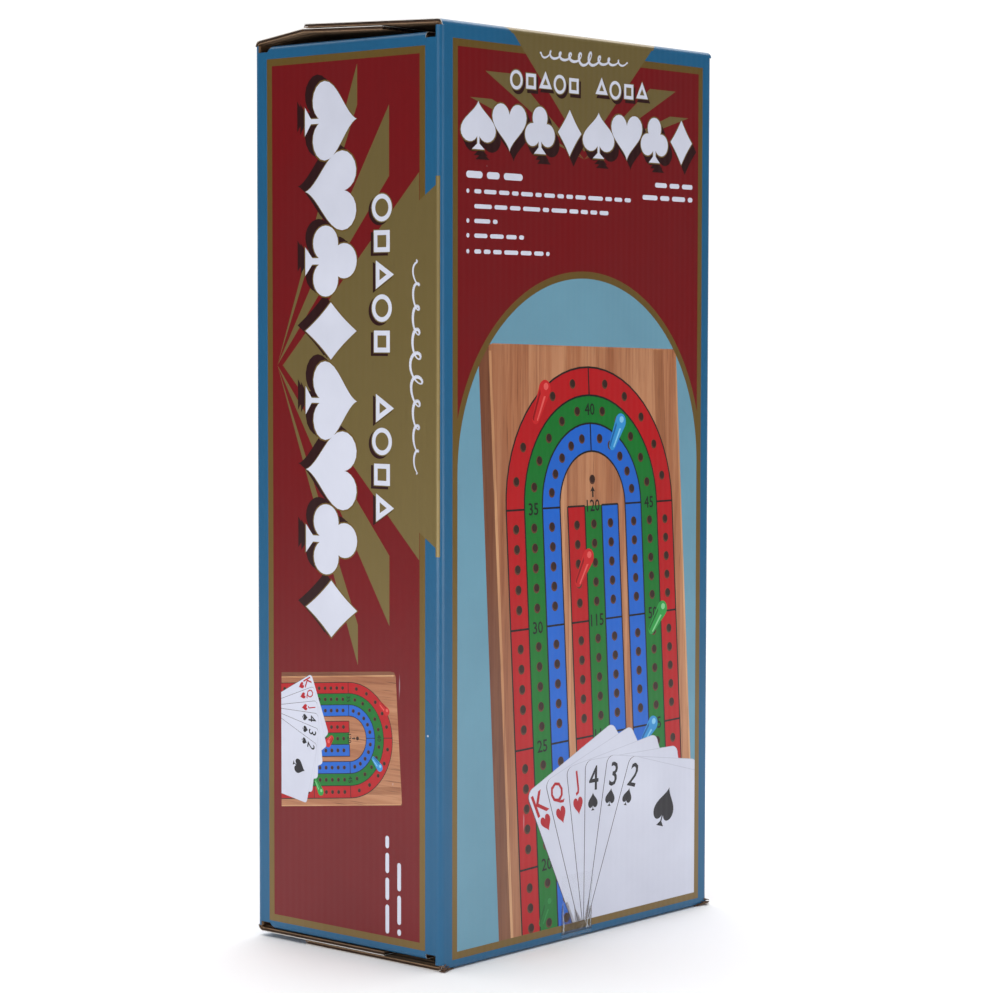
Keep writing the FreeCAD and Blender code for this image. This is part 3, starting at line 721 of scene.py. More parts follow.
def side_art():
    """The narrow face, reading downward: drawn as a lying page, then turned onto the face."""
    art = Drawing()
    inner = 39.5
    low, high = FRAME_FOOT + 3.4, FRAME_TOP - 2.8
    art.add([rectangle(-inner - FRAME_BAND, inner + FRAME_BAND - 0.7, low, high)], GOLD)
    art.add([rectangle(-inner, inner - 0.7, low + FRAME_BAND, high - FRAME_BAND)], RED)

    def lying(x, y):
        return y, SIDE_MIDDLE - x

    art.put = lying
    draw_banner(art, -33.9, 38.6, ((114.6, 99.0, 6.6), (98.3, 71.6, 23.2)))
    art.add([[(-SIDE_BANNER_HALF, 52.0), (SIDE_BANNER_HALF, 52.0), (62.0, 38.6),
              (-62.0, 38.6)]], BANNER)
    draw_swash(art, 37.0, 40.0, 3.0)
    draw_second_row(art, 19.4, 10.4, 12.6)
    draw_title(art, 27.5, 26.8, -7.6, lean=(-0.9, -1.7))
    art.put = lambda x, y: (x, y)
    window = rectangle(-35.5, 32.0, 20.0, 130.0)
    art.clip = loop_segments([window])
    corners = ((26.4, 110.6), (29.7, 61.2), (-36.0, 53.3), (-35.1, 105.0))
    draw_board_picture(art, projective(corners, 90.0, 110.0), 110.0, 3.0)
    draw_peg(art, "red", (18.6, 98.8), (21.6, 96.2), 3.2)
    draw_peg(art, "red", (-7.6, 83.2), (-9.6, 81.2), 3.6)
    draw_peg(art, "blue", (14.8, 77.4), (18.0, 74.4), 3.2)
    draw_peg(art, "green", (-16.0, 65.6), (-13.6, 61.6), 3.2)
    small = 0.424
    art.put = lambda x, y: (55.4 + (y - 236.2) * small, 117.0 - (x + 56.8) * small)
    draw_fan(art)
    art.put = lambda x, y: (x, y)
    art.clip = None
    art.add([rectangle(-inner, -inner + 4.2, 50.0, 112.0)], RED)
    art.put = lying
    draw_words(art, 178.7, 216.4, 22.0, 1.9, WHITE)
    draw_words(art, 188.4, 216.4, 28.2, 1.9, WHITE)
    return art


# ---------------------------------------------------------------- materials
def node_material(name):
    """Node material with a maker of nodes and a feeder of the shader's inputs."""
    material = bpy.data.materials.new(name)
    material.use_nodes = True
    tree = material.node_tree
    shader = tree.nodes["Principled BSDF"]

    def put(value, socket):
        if isinstance(value, bpy.types.NodeSocket):
            tree.links.new(value, socket)
        else:
            socket.default_value = value

    def make(kind, inputs=None, **settings):
        node = tree.nodes.new(kind)
        for key, value in settings.items():
            setattr(node, key, value)
        for key, value in (inputs or {}).items():
            put(value, node.inputs[key])
        return node

    def feed(socket, value):
        put(value, shader.inputs[socket])
    return material, make, feed


def mix_colour(make, factor, a, b, blend="MIX"):
    """Colour mix node's output."""
    return make("ShaderNodeMix", {0: factor, 6: a, 7: b}, data_type="RGBA",
                blend_type=blend).outputs[2]


def tinted(make, amount, colour, tint):
    """A colour, multiplied by a tint as far as amount says."""
    return mix_colour(make, amount, colour, mix_colour(make, 1.0, colour, tint, "MULTIPLY"))


def maths(make, operation, a, b):
    """Output of one arithmetic node."""
    return make("ShaderNodeMath", {0: a, 1: b}, operation=operation).outputs[0]


def span(make, value, low, high, to_low, to_high):
    """Value remapped from one span to another, clamped."""
    return make("ShaderNodeMapRange", {0: value, 1: low, 2: high, 3: to_low, 4: to_high}).outputs[0]


def stretched(make, scale):
    """Object coordinates scaled along each axis."""
    coordinate = make("ShaderNodeTexCoord")
    return make("ShaderNodeMapping", {0: coordinate.outputs["Object"], 3: scale}).outputs[0]


def noise(make, scale, detail=2.0, **more):
    """Noise over the object's own coordinates; scale is one number or one for each axis."""
    scale = scale if isinstance(scale, tuple) else (scale,) * 3
    return make("ShaderNodeTexNoise", {"Vector": stretched(make, scale), "Scale": 1.0,
                                       "Detail": detail, **more}).outputs[0]


def bump(make, strength, distance, height, **more):
    """Normal of a bump; distance is in metres."""
    return make("ShaderNodeBump", {"Strength": strength, "Distance": distance, "Height": height,
                                   **more}).outputs[0]


def rgb(red, green, blue, scale=1.0):
    """Display colour, 0 to 255 and scaled, as a linear colour with alpha."""
    return (linear(red * scale), linear(green * scale), linear(blue * scale), 1.0)


def oak_colour(make, along, base):
    """Oak figure multiplied into a base colour, and the streaks that make part of it."""
    fine = tuple(900.0 if k != along else 26.0 for k in range(3))
    wide = tuple(150.0 if k != along else 5.0 for k in range(3))
    streaks = noise(make, fine, 4.0, Roughness=0.65)
    bands = noise(make, wide, 3.0, Distortion=0.6)
    pores = noise(make, tuple(k * 2.2 for k in fine), 1.0)
    colour = tinted(make, span(make, bands, 0.36, 0.62, 0.0, 0.62), base, rgb(196, 150, 116))
    colour = tinted(make, span(make, streaks, 0.5, 0.72, 0.0, 0.55), colour, rgb(170, 122, 92))
    colour = tinted(make, span(make, pores, 0.66, 0.74, 0.0, 0.6), colour, rgb(120, 84, 62))
    return colour, streaks


def flute_bump(make, axis, strength, fibre_strength=0.12):
    """Bump of the flutes showing through the liner, with soft dents and fine fibres."""
    scale = 2 * math.pi / (FLUTE_PITCH * 20.0)
    wave = make("ShaderNodeTexWave", {"Vector": stretched(make, (scale,) * 3), "Scale": 1.0,
                                      "Distortion": 0.6, "Detail": 1.0},
                wave_type="BANDS", bands_direction=axis).outputs["Fac"]
    flutes = bump(make, strength, 0.0006, wave)
    dents = bump(make, 0.25, 0.0012, noise(make, (42.0, 42.0, 16.0)), Normal=flutes)
    return bump(make, fibre_strength, 0.0001, noise(make, 900.0, 3.0), Normal=dents)


def printed_material(name, axis, grain_along=2):
    """Varnished print on corrugated board: stored ink, printed oak, scuffs and specks."""
    material, make, feed = node_material(name)
    ink = make("ShaderNodeAttribute", attribute_name="Ink")
    colour, kind = ink.outputs["Color"], ink.outputs["Alpha"]
    has_gold = span(make, kind, 0.2, 0.3, 0.24, 1.0)
    is_flat = span(make, kind, 0.7, 0.8, 1.0, 0.4)
    feed("Specular IOR Level", maths(make, "MULTIPLY", has_gold, is_flat))
    is_gold = maths(make, "MULTIPLY", span(make, kind, 0.2, 0.3, 0.0, 1.0),
                    span(make, kind, 0.7, 0.8, 1.0, 0.0))
    feed("Specular Tint", mix_colour(make, is_gold, (1, 1, 1, 1), (1.0, 0.74, 0.34, 1)))
    oak, _ = oak_colour(make, grain_along, colour)
    colour = mix_colour(make, span(make, kind, 0.7, 0.8, 0.0, 1.0), colour, oak)
    mottle = noise(make, 30.0, 5.0)
    colour = tinted(make, span(make, mottle, 0.35, 0.75, 0.0, 0.22), colour, rgb(190, 190, 196))
    specks = make("ShaderNodeTexVoronoi", {"Vector": stretched(make, (75.0,) * 3),
                                           "Scale": 1.0}, feature="F1").outputs[0]
    small = maths(make, "MULTIPLY", span(make, specks, 0.03, 0.05, 1.0, 0.0),
                  span(make, noise(make, 55.0), 0.62, 0.66, 0.0, 1.0))
    scratch = noise(make, (260.0, 260.0, 30.0))
    worn = maths(make, "MAXIMUM", small, span(make, scratch, 0.77, 0.8, 0.0, 0.35))
    feed("Base Color", mix_colour(make, worn, colour, rgb(206, 206, 214)))
    feed("Roughness", span(make, mottle, 0.3, 0.8, 0.3, 0.42))
    feed("Normal", flute_bump(make, axis, 0.06, 0.04))
    feed("Coat Weight", 0.22)
    feed("Coat Roughness", 0.2)
    return material


def kraft_material(name, axis, tint=(150, 118, 88)):
    """Plain brown corrugated board: fibres, flecks and the faint ribs of the flutes."""
    material, make, feed = node_material(name)
    fleck = noise(make, (700.0, 700.0, 180.0), 4.0)
    cloud = noise(make, 60.0, 3.0)
    base = mix_colour(make, span(make, cloud, 0.3, 0.7, 0.0, 1.0), rgb(*tint), rgb(*tint, 0.86))
    feed("Base Color", mix_colour(make, span(make, fleck, 0.55, 0.72, 0.0, 0.6), base,
                                  rgb(*tint, 0.66)))
    feed("Normal", flute_bump(make, axis, 0.55))
    feed("Roughness", span(make, fleck, 0.3, 0.7, 0.82, 0.95))
    return material


def oak_material(name):
    """Solid oak under satin lacquer: grain along the board, growth rings on its top end."""
    material, make, feed = node_material(name)
    place = make("ShaderNodeSeparateXYZ", {0: stretched(make, (1.0,) * 3)})
    stave = noise(make, (42.0, 0.0, 0.0), 0.0)
    base = mix_colour(make, span(make, stave, 0.35, 0.65, 0.0, 1.0), rgb(206, 150, 104),
                      rgb(176, 120, 76))
    colour, streaks = oak_colour(make, 2, base)
    # Painted shade: the oak darkens from 0.8 mm to 3.5 mm behind its face and stays darker further
    # in, down the drilled holes and over the board's sides, easing off within the last 1.2 mm
    # before its back.
    depth = span(make, place.outputs[1], BOARD_LOW.y + 0.0008, BOARD_LOW.y + 0.0035, 0.0, 1.0)
    inner = span(make, place.outputs[1], BOARD_HIGH.y - 0.0012, BOARD_HIGH.y - 0.0002, 1.0, 0.0)
    edge = maths(make, "MULTIPLY", depth, inner)
    colour = tinted(make, span(make, edge, 0.0, 1.0, 0.0, 0.25), colour, rgb(150, 110, 84))
    end = span(make, place.outputs[2], BOARD_HIGH.z - 0.0002, BOARD_HIGH.z - 0.0001, 0.0, 0.8)
    rings = noise(make, (110.0, 900.0, 1.0), Distortion=1.2)
    ringed = mix_colour(make, span(make, rings, 0.42, 0.6, 0.0, 1.0), rgb(178, 128, 86),
                        rgb(122, 82, 52))
    feed("Base Color", mix_colour(make, end, colour, ringed))
    feed("Roughness", span(make, streaks, 0.3, 0.8, 0.32, 0.5))
    feed("Normal", bump(make, 0.18, 0.0002, streaks))
    feed("Coat Weight", 0.25)
    feed("Coat Roughness", 0.25)
    return material


def paint_material():
    """Screen-printed track paint: slightly raised sheen with a trace of the wood below."""
    material, make, feed = node_material("track_paint")
    ink = make("ShaderNodeAttribute", attribute_name="Ink").outputs["Color"]
    streaks = noise(make, (900.0, 900.0, 30.0), 3.0)
    feed("Base Color", tinted(make, span(make, streaks, 0.45, 0.75, 0.0, 0.3), ink,
                              rgb(170, 160, 150)))
    feed("Roughness", span(make, streaks, 0.3, 0.7, 0.25, 0.4))
    feed("Normal", bump(make, 0.15, 0.0002, streaks))
    feed("Coat Weight", 0.3)
    return material


def plastic_material(name, tint):
    """Translucent moulded peg plastic with a soft inner cloud."""
    material, make, feed = node_material(name)
    cloud = noise(make, 160.0)
    feed("Base Color", mix_colour(make, span(make, cloud, 0.3, 0.7, 0.0, 0.4), rgb(*tint),
                                  rgb(*(min(255, k * 1.25 + 10) for k in tint))))
    feed("Roughness", span(make, cloud, 0.3, 0.7, 0.12, 0.2))
    feed("Transmission Weight", 0.45)
    feed("IOR", 1.46)
    return material


def metal_material(name, tint, along):
    """Brushed or plated steel with drawn lines along one axis."""
    material, make, feed = node_material(name)
    lines = noise(make, tuple(60.0 if k == along else 2600.0 for k in range(3)))
    feed("Base Color", mix_colour(make, span(make, lines, 0.3, 0.7, 0.0, 0.5), rgb(*tint),
                                  rgb(*tint, 0.8)))
    feed("Roughness", span(make, lines, 0.3, 0.7, 0.22, 0.42))
    feed("Normal", bump(make, 0.1, 0.00005, lines))
    feed("Metallic", 1.0)
    return material


def paper_material(name, tint, roughness):
    """Paper or card with fine tooth."""
    material, make, feed = node_material(name)
    tooth = noise(make, 1400.0, 3.0)
    feed("Base Color", mix_colour(make, span(make, tooth, 0.4, 0.7, 0.0, 0.25), rgb(*tint),
                                  rgb(*tint, 0.9)))
    feed("Roughness", span(make, tooth, 0.3, 0.7, roughness, roughness + 0.12))
    feed("Normal", bump(make, 0.1, 0.0001, tooth))
    return material


def tape_material():
    """Clear tape: almost invisible and glossy, with a faint drawn grain."""
    material, make, feed = node_material("clear_tape")
    grain = noise(make, (300.0, 40.0, 40.0), 1.0)
    feed("Base Color", rgb(236, 238, 240))
    feed("Alpha", span(make, grain, 0.35, 0.75, 0.03, 0.05))
    feed("Roughness", span(make, grain, 0.3, 0.7, 0.08, 0.2))
    feed("IOR", 1.5)
    feed("Coat Weight", 1.0)
    feed("Coat Roughness", 0.06)
    return material


PRINT_WALL = printed_material("print_on_walls", "X")
PRINT_SIDE = printed_material("print_on_sides", "Y")
PRINT_SIDE_PICTURE = printed_material("print_on_narrow_faces", "Y", grain_along=1)
KRAFT_X = kraft_material("kraft_board", "X")
KRAFT_Y = kraft_material("kraft_board_sides", "Y")
KRAFT_RAW = kraft_material("raw_board_edge", "X", tint=(112, 86, 68))
PAPER_EDGE = paper_material("white_liner_edge", (214, 210, 204), 0.75)
OAK_WOOD = oak_material("lacquered_oak")
TRACK_PAINT = paint_material()
TAPE = tape_material()


# ---------------------------------------------------------------- carton panels
FLAT = (HALF_W - CORNER_R) / MM
CORNER_ARC = math.pi / 2 * CORNER_R / MM


def wall_wrap(side):
    """Bends a face drawing round the two upright corners; side -1 is the front, 1 the back."""
    def wrap(x, z, depth):
        over = abs(x) - FLAT
        if over <= 0:
            across, inward = x * MM, depth
        else:
            turn = over * MM / CORNER_R
            across = math.copysign(FLAT * MM + (CORNER_R - depth) * math.sin(turn), x)
            inward = CORNER_R - (CORNER_R - depth) * math.cos(turn)
        return Vector((-side * across, side * (HALF_D - inward), FOOT + z * MM))
    return wrap


def corner_guides(low, high):
    """Upright lines that let the sheet bend at its corners."""
    steps = 8
    lines = []
    for hand in (-1, 1):
        for k in range(steps):
            x = hand * (FLAT + CORNER_ARC * k / steps)
            lines.append(((x, low), (x, high)))
    return lines


def wall(name, side, low, high, art, corner_marks):
    """Front or back panel with the upright corners that belong to it."""
    low, high = (low - FOOT) / MM, (high - FOOT) / MM
    edge = FLAT + CORNER_ARC
    for hand, band in corner_marks:
        x0, x1 = sorted((hand * (FLAT + CORNER_ARC * 0.55), hand * (edge + 1)))
        art.add([rectangle(x0, x1, *band)], BANNER)
    piece = wrapped_sheet(name, rectangle(-edge, edge, low, high), art, BLUE, wall_wrap(side),
                          STOCK, [PRINT_WALL, KRAFT_X], corner_guides(low, high))
    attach(piece, "carton")
    return piece


def narrow_wall(name, side, art):
    """Left (side -1) or right (side 1) panel between the upright corners."""
    half = (HALF_D - CORNER_R) / MM
    low, high = (SIDE_LOW.z - FOOT) / MM, (SIDE_HIGH.z - FOOT) / MM

    def wrap(x, z, depth):
        return Vector((side * (HALF_W - depth), side * x * MM, FOOT + z * MM))

    piece = wrapped_sheet(name, rectangle(-half, half, low, high), art, BLUE, wrap, STOCK,
                          [PRINT_SIDE_PICTURE, KRAFT_Y])
    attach(piece, "carton")
    return piece


BANNER_BAND = (SIDE_MIDDLE - SIDE_BANNER_HALF, SIDE_MIDDLE + SIDE_BANNER_HALF)
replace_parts(wall("front_print", -1, PANEL_LOW.z, PANEL_HIGH.z, front_art(), [(-1, BANNER_BAND)]),
            "front_panel")
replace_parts(wall("back_print", 1, REAR_LOW.z, REAR_HIGH.z, front_art(), [(-1, BANNER_BAND)]),
            "back_panel")
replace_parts(narrow_wall("left_print", -1, side_art()), "left_panel")
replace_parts(narrow_wall("right_print", 1, side_art()), "right_panel")


# ---------------------------------------------------------------- flaps
LINER = 0.28 * MM
CORE = 0.16 * MM


def fold_path(runs):
    """Place and outward normal along a creased flap, as a function of the distance run."""
    first = math.radians(90 - runs[0][0])
    crease = CREASE_R * first
    knots = [(crease, CREASE_R * (1 - math.cos(first)), CREASE_R * math.sin(first))]
    for slope, length in runs:
        run, inward, up = knots[-1]
        angle = math.radians(slope)
        knots.append((run + length, inward + length * math.cos(angle),
                      up + length * math.sin(angle)))

    def place(run, depth):
        if run <= crease:
            angle = run / CREASE_R
            return (CREASE_R - (CREASE_R - depth) * math.cos(angle),
                    (CREASE_R - depth) * math.sin(angle))
        for k, (slope, _) in enumerate(runs):
            if run <= knots[k + 1][0] + 1e-7 or k == len(runs) - 1:
                start, inward, up = knots[k]
                angle = math.radians(slope)
                past = run - start
                return (inward + past * math.cos(angle) + depth * math.sin(angle),
                        up + past * math.sin(angle) - depth * math.cos(angle))
        raise ValueError("past the flap's end")
    return place, crease, [k[0] for k in knots]


def make_flap(name, node, body, runs, to_world, span_x, taper, ink_art, print_material, kraft):
    """Corrugated flap: printed outer liner, waved core and plain inner liner.

    Drawings lie in (place along the crease, run from the hinge line), both in millimetres.
    taper(run) gives the first and last place along the crease that the flap covers there.
    """
    place, crease, knots = fold_path(runs)
    total = knots[-1]
    x0, x1 = span_x

    def wrap(x, run, depth):
        inward, up = place(run * MM, depth)
        return to_world(x * MM, inward, up)

    marks = [crease * k / 8 for k in range(1, 9)] + knots[1:-1]
    corners = [taper(0.0), taper(total / MM)]
    outline = [(corners[0][0], 0.0), (corners[0][1], 0.0),
               (corners[1][1], total / MM), (corners[1][0], total / MM)]
    guides = [((taper(m / MM)[0], m / MM), (taper(m / MM)[1], m / MM)) for m in marks]
    liners = []
    for part, art, depth in (("outer", ink_art, 0.0), ("inner", None, STOCK - LINER)):
        def at(x, run, d, depth=depth):
            return wrap(x, run, depth + d)
        liners.append(wrapped_sheet(f"{name}_{part}_liner", outline, art, BLUE, at, LINER,
                                    [print_material if art else kraft, kraft, PAPER_EDGE],
                                    guides, 2 if art else 1))
    middle, swing = STOCK / 2, STOCK / 2 - LINER - CORE / 2
    columns = int((x1 - x0) * MM / FLUTE_PITCH * 8)
    rows = sorted({0.0, *marks, total})
    points, faces = [], []
    for sheet in (-0.5, 0.5):
        for c in range(columns + 1):
            x = x0 + (x1 - x0) * c / columns
            wave = swing * math.sin(2 * math.pi * x * MM / FLUTE_PITCH)
            end = total
            for _ in range(24):
                low, high = taper(end / MM)
                if low - 1e-6 <= x <= high + 1e-6:
                    break
                end -= total / 24
            for r in rows:
                run = min(r, max(end, total / 24))
                points.append(wrap(x, run / MM, middle + wave + sheet * CORE))
    n = len(rows)
    layer = (columns + 1) * n
    for c in range(columns):
        for r in range(n - 1):
            a = c * n + r
            if (points[a] - points[a + 1]).length < 1e-7:
                continue
            quad = (a, a + n, a + n + 1, a + 1)
            faces.append(quad)
            faces.append(tuple(layer + k for k in quad[::-1]))
    core = new_piece(f"{name}_core", points, faces, [KRAFT_RAW], None, [OAK] * len(faces))
    for piece in liners + [core]:
        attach(piece, body)
    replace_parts(liners[0], node)


FLAP_LOW, FLAP_HIGH = (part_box("top_outer_flap")[k].x / MM for k in (0, 1))
DUST_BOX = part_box("top_dust_flap_left")
OUTER_L = (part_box("bottom_outer_flap")[1].y - PANEL_LOW.y - CREASE_R) / MM
INNER_L = (REAR_HIGH.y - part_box("bottom_inner_flap")[0].y - CREASE_R) / MM
OUTER_RISE = 2.4
INNER_ROOT = 24.0
DUST_TAPER_FRONT, DUST_TAPER_BACK = 0.16, 0.62
INNER_ROOT_RISE = math.degrees(math.asin(OUTER_L * math.sin(math.radians(OUTER_RISE)) / INNER_ROOT))


def straight(run):
    """Taper of the wide flaps, whose sides run straight."""
    return FLAP_LOW, FLAP_HIGH


def crease_art(banner_half):
    """The gold wedge running on over the crease of the top outer flap."""
    art = Drawing()
    art.add([[(-banner_half, -1.0), (banner_half, -1.0), (banner_half + 7.0, 6.5),
              (-banner_half - 7.0, 6.5)]], BANNER)
    return art


def wide_flaps():
    """Outer and inner flaps at the top and the bottom."""
    for top in (True, False):
        up = 1 if top else -1
        front_z = PANEL_HIGH.z if top else PANEL_LOW.z
        back_z = REAR_HIGH.z if top else REAR_LOW.z
        level = "top" if top else "bottom"
        outer_runs = [(OUTER_RISE if top else 0.0, OUTER_L * MM)]
        inner_runs = ([(INNER_ROOT_RISE, INNER_ROOT * MM),
                       (-OUTER_RISE, (INNER_L - INNER_ROOT) * MM)] if top
                      else [(0.0, INNER_L * MM)])
        half_banner = (front_z - FOOT) / MM - BANNER_TIP

        def front(x, inward, rise, z=front_z, up=up):
            return Vector((x, -HALF_D + inward, z + up * rise))

        def back(x, inward, rise, z=back_z, up=up):
            return Vector((x, HALF_D - inward, z + up * rise))

        art = crease_art(half_banner) if top else Drawing()
        make_flap(f"{level}_outer", f"{level}_outer_flap",
                  "outer_flap" if top else "carton", outer_runs, front,
                  (FLAP_LOW, FLAP_HIGH), straight, art, PRINT_WALL, KRAFT_X)
        make_flap(f"{level}_inner", f"{level}_inner_flap",
                  "inner_flap" if top else "carton", inner_runs, back,
                  (FLAP_LOW, FLAP_HIGH), straight, Drawing(), PRINT_WALL, KRAFT_X)


def dust_flaps():
    """The four tapered side flaps."""
    run_end = (DUST_BOX[1].x - DUST_BOX[0].x) / MM
    low0, high0 = DUST_BOX[0].y / MM, DUST_BOX[1].y / MM
    arc_gain = CREASE_R * (math.pi / 2 - 1) / MM

    def taper(run):
        reach = max(0.0, run - arc_gain)
        return low0 + DUST_TAPER_FRONT * reach, high0 - DUST_TAPER_BACK * reach

    for side, hand in (("left", -1), ("right", 1)):
        for level, up in (("top", 1), ("bottom", -1)):
            z = SIDE_HIGH.z if up > 0 else SIDE_LOW.z

            def to_world(y, inward, rise, z=z, up=up, hand=hand):
                return Vector((hand * (HALF_W - inward), y, z + up * rise))

            body = f"dust_flap_{side}" if up > 0 else "carton"
            make_flap(f"{level}_dust_{side}", f"{level}_dust_flap_{side}", body,
                      [(0.0, run_end * MM - CREASE_R)], to_world, (low0, high0), taper,
                      Drawing(), PRINT_SIDE, KRAFT_Y)


wide_flaps()
dust_flaps()


# ---------------------------------------------------------------- board, pegs, cover
def board_paint():
    """Painted track on the board's face: a thin film with a hole over each drilled hole."""
    drawing = Drawing()
    top = BOARD_HIGH.z
    draw_track(drawing, 96, math.inf, True)
    film = 0.05 * MM
    co, tris, number = triangulate(rectangle(-44.0, 44.0, 1.0, 310.0), drawing.layers)
    keep = np.array([k >= 0 and drawing.layers[k][1] is not None for k in number])
    tris, number = tris[keep], number[keep]
    co, tris = compact(co, tris)
    points = [Vector((x * MM, BOARD_LOW.y - film, top - y * MM)) for x, y in co]
    rear = [p + Vector((0, film, 0)) for p in points]
    faces = [tuple(t) for t in tris]
    shift = len(points)
    faces += [tuple(shift + k for k in t[::-1]) for t in tris]
    faces += [(b, a, shift + a, shift + b) for a, b in boundary(tris)]
    inks = [drawing.layers[k][1] for k in number]
    inks += inks + [BLACK] * (len(faces) - 2 * len(tris))
    paint = new_piece("track_paint_film", points + rear, faces, [TRACK_PAINT], None, inks)
    outward_normals(paint)
    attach(paint, "board")


board_paint()


def dress(node, material):
    """Gives a CAD node its finished material."""
    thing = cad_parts[node]
    thing = bpy.data.objects[thing] if isinstance(thing, str) else thing
    thing.data.materials.clear()
    thing.data.materials.append(material)


PEG_TINTS = {"red": (206, 16, 20), "green": (16, 150, 44), "blue": (24, 120, 214)}
for peg_colour, peg_tint in PEG_TINTS.items():
    peg_material = plastic_material(f"{peg_colour}_peg_plastic", peg_tint)
    for peg_number in (1, 2, 3):
        dress(f"peg_{peg_colour}_{peg_number}", peg_material)
dress("cribbage_board", OAK_WOOD)
dress("storage_cover", metal_material("brushed_cover_steel", (186, 184, 178), 2))
dress("cover_screw", metal_material("zinc_screw", (206, 204, 200), 0))
dress("insert_platform", KRAFT_X)
dress("card_divider", KRAFT_X)
dress("glue_tab", KRAFT_Y)
dress("playing_cards", paper_material("playing_card_stock", (232, 232, 234), 0.4))
dress("rules_leaflet", paper_material("leaflet_paper", (236, 232, 220), 0.7))
dress("closing_tape", TAPE)
dress("card_box", paper_material("tuck_box_card", (170, 30, 36), 0.35))


# ---------------------------------------------------------------- creased tape, torn corners
LIFT = Vector((0, -0.12 * MM, 0))


def ribbon(points, widths, across):
    """Thin closed strip along points, ridged by LIFT; across gives its sideways direction."""
    verts, faces = [], []
    for p, width in zip(points, widths):
        for hand, lift in ((-1, 0.0), (0, 1.0), (1, 0.0)):
            verts.append(Vector(p) + across * hand * width / 2 + lift * LIFT)
    for k in range(len(points) - 1):
        a = 3 * k
        faces += [(a, a + 1, a + 4, a + 3), (a + 1, a + 2, a + 5, a + 4), (a, a + 3, a + 5, a + 2)]
    last = 3 * (len(points) - 1)
    faces += [(0, 2, 1), (last, last + 1, last + 2)]
    return verts, faces


def tape_creases():
    """Wrinkles pressed into the clear tape where it turns under the carton."""
    tape_low, tape_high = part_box("closing_tape")
    y = tape_low.y
    lines = []
    for start, lean, top, wide in ((0.04, 0.5, 9.0, 0.5), (0.07, -0.3, 12.0, 0.28),
                                   (0.93, 1.6, 21.0, 0.34), (0.8, 2.6, 9.0, 0.5),
                                   (0.62, 3.8, 5.0, 0.3), (0.86, -1.4, 4.2, 0.6)):
        x = (tape_low.x + (tape_high.x - tape_low.x) * start) / MM
        path, widths = [], []
        for k in range(13):
            t = k / 12
            sway = lean * t + 0.35 * math.sin(5.0 * t + start * 9)
            path.append(Vector(((x + sway) * MM, y, (3.2 + top * t) * MM)))
            widths.append(wide * MM * (1.0 - t) ** 0.5 + 0.05 * MM)
        lines.append((path, widths))
    points, faces = [], []
    for path, widths in lines:
        strip, quads = ribbon(path, widths, Vector((1, 0, 0)))
        faces += [tuple(len(points) + k for k in quad) for quad in quads]
        points += strip
    material, make, feed = node_material("tape_crease")
    feed("Alpha", span(make, noise(make, 500.0), 0.35, 0.65, 0.1, 0.45))
    feed("Base Color", rgb(236, 240, 244))
    feed("Roughness", 0.5)
    creases = new_piece("tape_creases", points, faces, [material], None, [WHITE] * len(faces))
    outward_normals(creases)
    creases.visible_shadow = False
    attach(creases, "carton")


def crumpled_corner(name, hand):
    """Crushed board at a lower front corner: torn liners and flutes that stick out."""
    points, faces = [], []
    columns, rows = 16, 5
    x_edge = hand * HALF_W
    for layer in range(4):
        base_z = (0.25 + layer * 0.62) * MM
        reach = (7.5 - 1.2 * layer) * MM
        start = len(points)
        for side in (0.0, 1.0):
            for c in range(columns + 1):
                t = c / columns
                x = x_edge - hand * (0.4 * MM + reach * t)
                for r in range(rows + 1):
                    q = r / rows
                    ragged = DICE.uniform(-0.3, 0.3) * MM * q
                    y = -HALF_D + 1.2 * MM - (2.7 * MM * q * (1 - 0.75 * t) + ragged)
                    wave = 0.28 * MM * math.sin(t * 15 + layer * 2.1) * (1 if layer % 2 else 0.35)
                    curl = 0.9 * MM * q * q * math.sin(layer * 1.9 + t * 4)
                    z = base_z + wave + 0.5 * curl + (0.16 * MM if side else 0.0)
                    points.append(Vector((x, y, max(z, 0.03 * MM))))
        n = rows + 1
        half = (columns + 1) * n
        for c in range(columns):
            for r in range(rows):
                a = start + c * n + r
                faces.append((a, a + 1, a + n + 1, a + n))
                faces.append((half + a, half + a + n, half + a + n + 1, half + a + 1))
        rim = [(start + c * n, start + (c + 1) * n) for c in range(columns)]
        rim += [(start + (c + 1) * n + rows, start + c * n + rows) for c in range(columns)]
        rim += [(start + r + 1, start + r) for r in range(rows)]
        rim += [(start + columns * n + r, start + columns * n + r + 1) for r in range(rows)]
        faces += [(a, b, half + b, half + a) for a, b in rim]
    scrap = new_piece(name, points, faces, [KRAFT_RAW], None, [OAK] * len(faces))
    outward_normals(scrap)
    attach(scrap, "carton")


tape_creases()
crumpled_corner("crushed_corner_left", -1)
crumpled_corner("crushed_corner_right", 1)


# ---------------------------------------------------------------- floor, light and camera
def floor():
    """Plain pale floor."""
    mesh = bpy.data.meshes.new("floor")
    size = 1.0
    mesh.from_pydata([(-size, -size, 0), (size, -size, 0), (size, size, 0), (-size, size, 0)],
                     [], [(0, 1, 2, 3)])
    thing = bpy.data.objects.new("floor", mesh)
    bpy.context.scene.collection.objects.link(thing)
    material, make, feed = node_material("pale_floor")
    feed("Base Color", mix_colour(make, noise(make, 3.0), rgb(247, 247, 248),
                                  rgb(244, 244, 246)))
    feed("Roughness", 0.8)
    mesh.materials.append(material)


def area_light(name, place, target, size, power):
    """Soft box aimed at a point."""
    data = bpy.data.lights.new(name, "AREA")
    data.shape = "RECTANGLE"
    data.size, data.size_y = size
    data.energy = power
    thing = bpy.data.objects.new(name, data)
    bpy.context.scene.collection.objects.link(thing)
    thing.location = place
    thing.visible_camera = False
    thing.rotation_euler = (Vector(target) - Vector(place)).to_track_quat("-Z", "Y").to_euler()


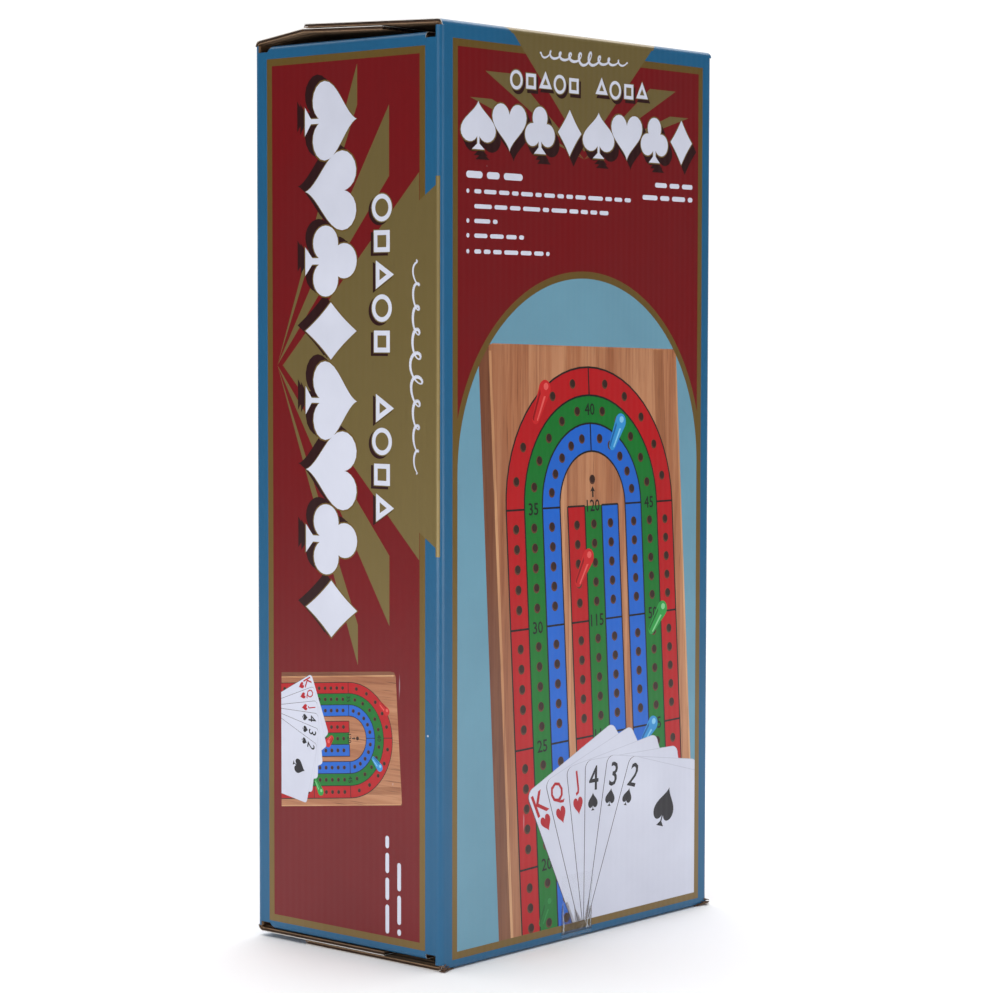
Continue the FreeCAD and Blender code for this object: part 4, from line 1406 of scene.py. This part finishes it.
CARTON_H = 0.356
EYE_AWAY = [k * CARTON_H for k in (2.1274, 1.9326, 0.6747)]
LOOK_ALONG = (0.75316, 0.65516, -0.05929)
IMAGE_RIGHT = (0.65639, -0.75442, 0.0017)
LENS = 99.18


def camera():
    """Long lens above the carton's middle, off its front left corner."""
    data = bpy.data.cameras.new("camera")
    data.lens = LENS
    data.sensor_width = 36.0
    data.clip_start, data.clip_end = 0.01, 50.0
    thing = bpy.data.objects.new("camera", data)
    bpy.context.scene.collection.objects.link(thing)
    thing.location = (-HALF_W - EYE_AWAY[0], -HALF_D - EYE_AWAY[1], EYE_AWAY[2])
    forward = Vector(LOOK_ALONG).normalized()
    right = Vector(IMAGE_RIGHT).normalized()
    up = right.cross(forward).normalized()
    right = forward.cross(up)
    thing.rotation_mode = "QUATERNION"
    thing.rotation_quaternion = Matrix((right, up, -forward)).transposed().to_quaternion()
    bpy.context.scene.camera = thing


BACKDROP_TOWARDS = (0.754, 0.656, 0.0)
BACKDROP_EDGE, BACKDROP_FULL = 0.35, 0.8
ROOM_LEVEL, BACKDROP_LEVEL = 0.12, 1.08


def studio_world():
    """White backdrop behind the object, as the camera sees it, and a dim room elsewhere."""
    world = bpy.data.worlds.new("studio")
    world.use_nodes = True
    tree = world.node_tree
    shade = tree.nodes["Background"]
    look = tree.nodes.new("ShaderNodeTexCoord")
    turn = tree.nodes.new("ShaderNodeVectorMath")
    turn.operation = "DOT_PRODUCT"
    turn.inputs[1].default_value = BACKDROP_TOWARDS
    tree.links.new(look.outputs["Generated"], turn.inputs[0])
    level = tree.nodes.new("ShaderNodeMapRange")
    level.interpolation_type = "SMOOTHSTEP"
    ends = (BACKDROP_EDGE, BACKDROP_FULL, ROOM_LEVEL, BACKDROP_LEVEL)
    for key, value in enumerate(ends, 1):
        level.inputs[key].default_value = value
    tree.links.new(turn.outputs["Value"], level.inputs[0])
    tree.links.new(level.outputs[0], shade.inputs[1])
    shade.inputs[0].default_value = (1, 1, 1, 1)
    bpy.context.scene.world = world


# Each soft box: where it stands, the height it is aimed at, its width and height, and its watts.
SOFT_BOXES = {
    "ceiling": ((0.15, 0.15, 1.9), 0.0, (3.0, 3.0), 68),
    "left_low": ((-1.5, -0.1, 0.35), 0.1, (0.9, 0.6), 3.2),
    "front_low": ((-0.2, -1.6, 0.35), 0.1, (0.9, 0.6), 3.2),
    "left_foot": ((-0.7, 0.0, 0.09), 0.03, (0.5, 0.14), 0.9),
    "front_foot": ((0.0, -0.75, 0.09), 0.03, (0.5, 0.14), 0.9),
}
floor()
for box_name, (box_place, aim_height, box_size, watts) in SOFT_BOXES.items():
    area_light(box_name, box_place, (0, 0, aim_height), box_size, watts)
studio_world()
bpy.context.scene.view_settings.view_transform = "Standard"
camera()
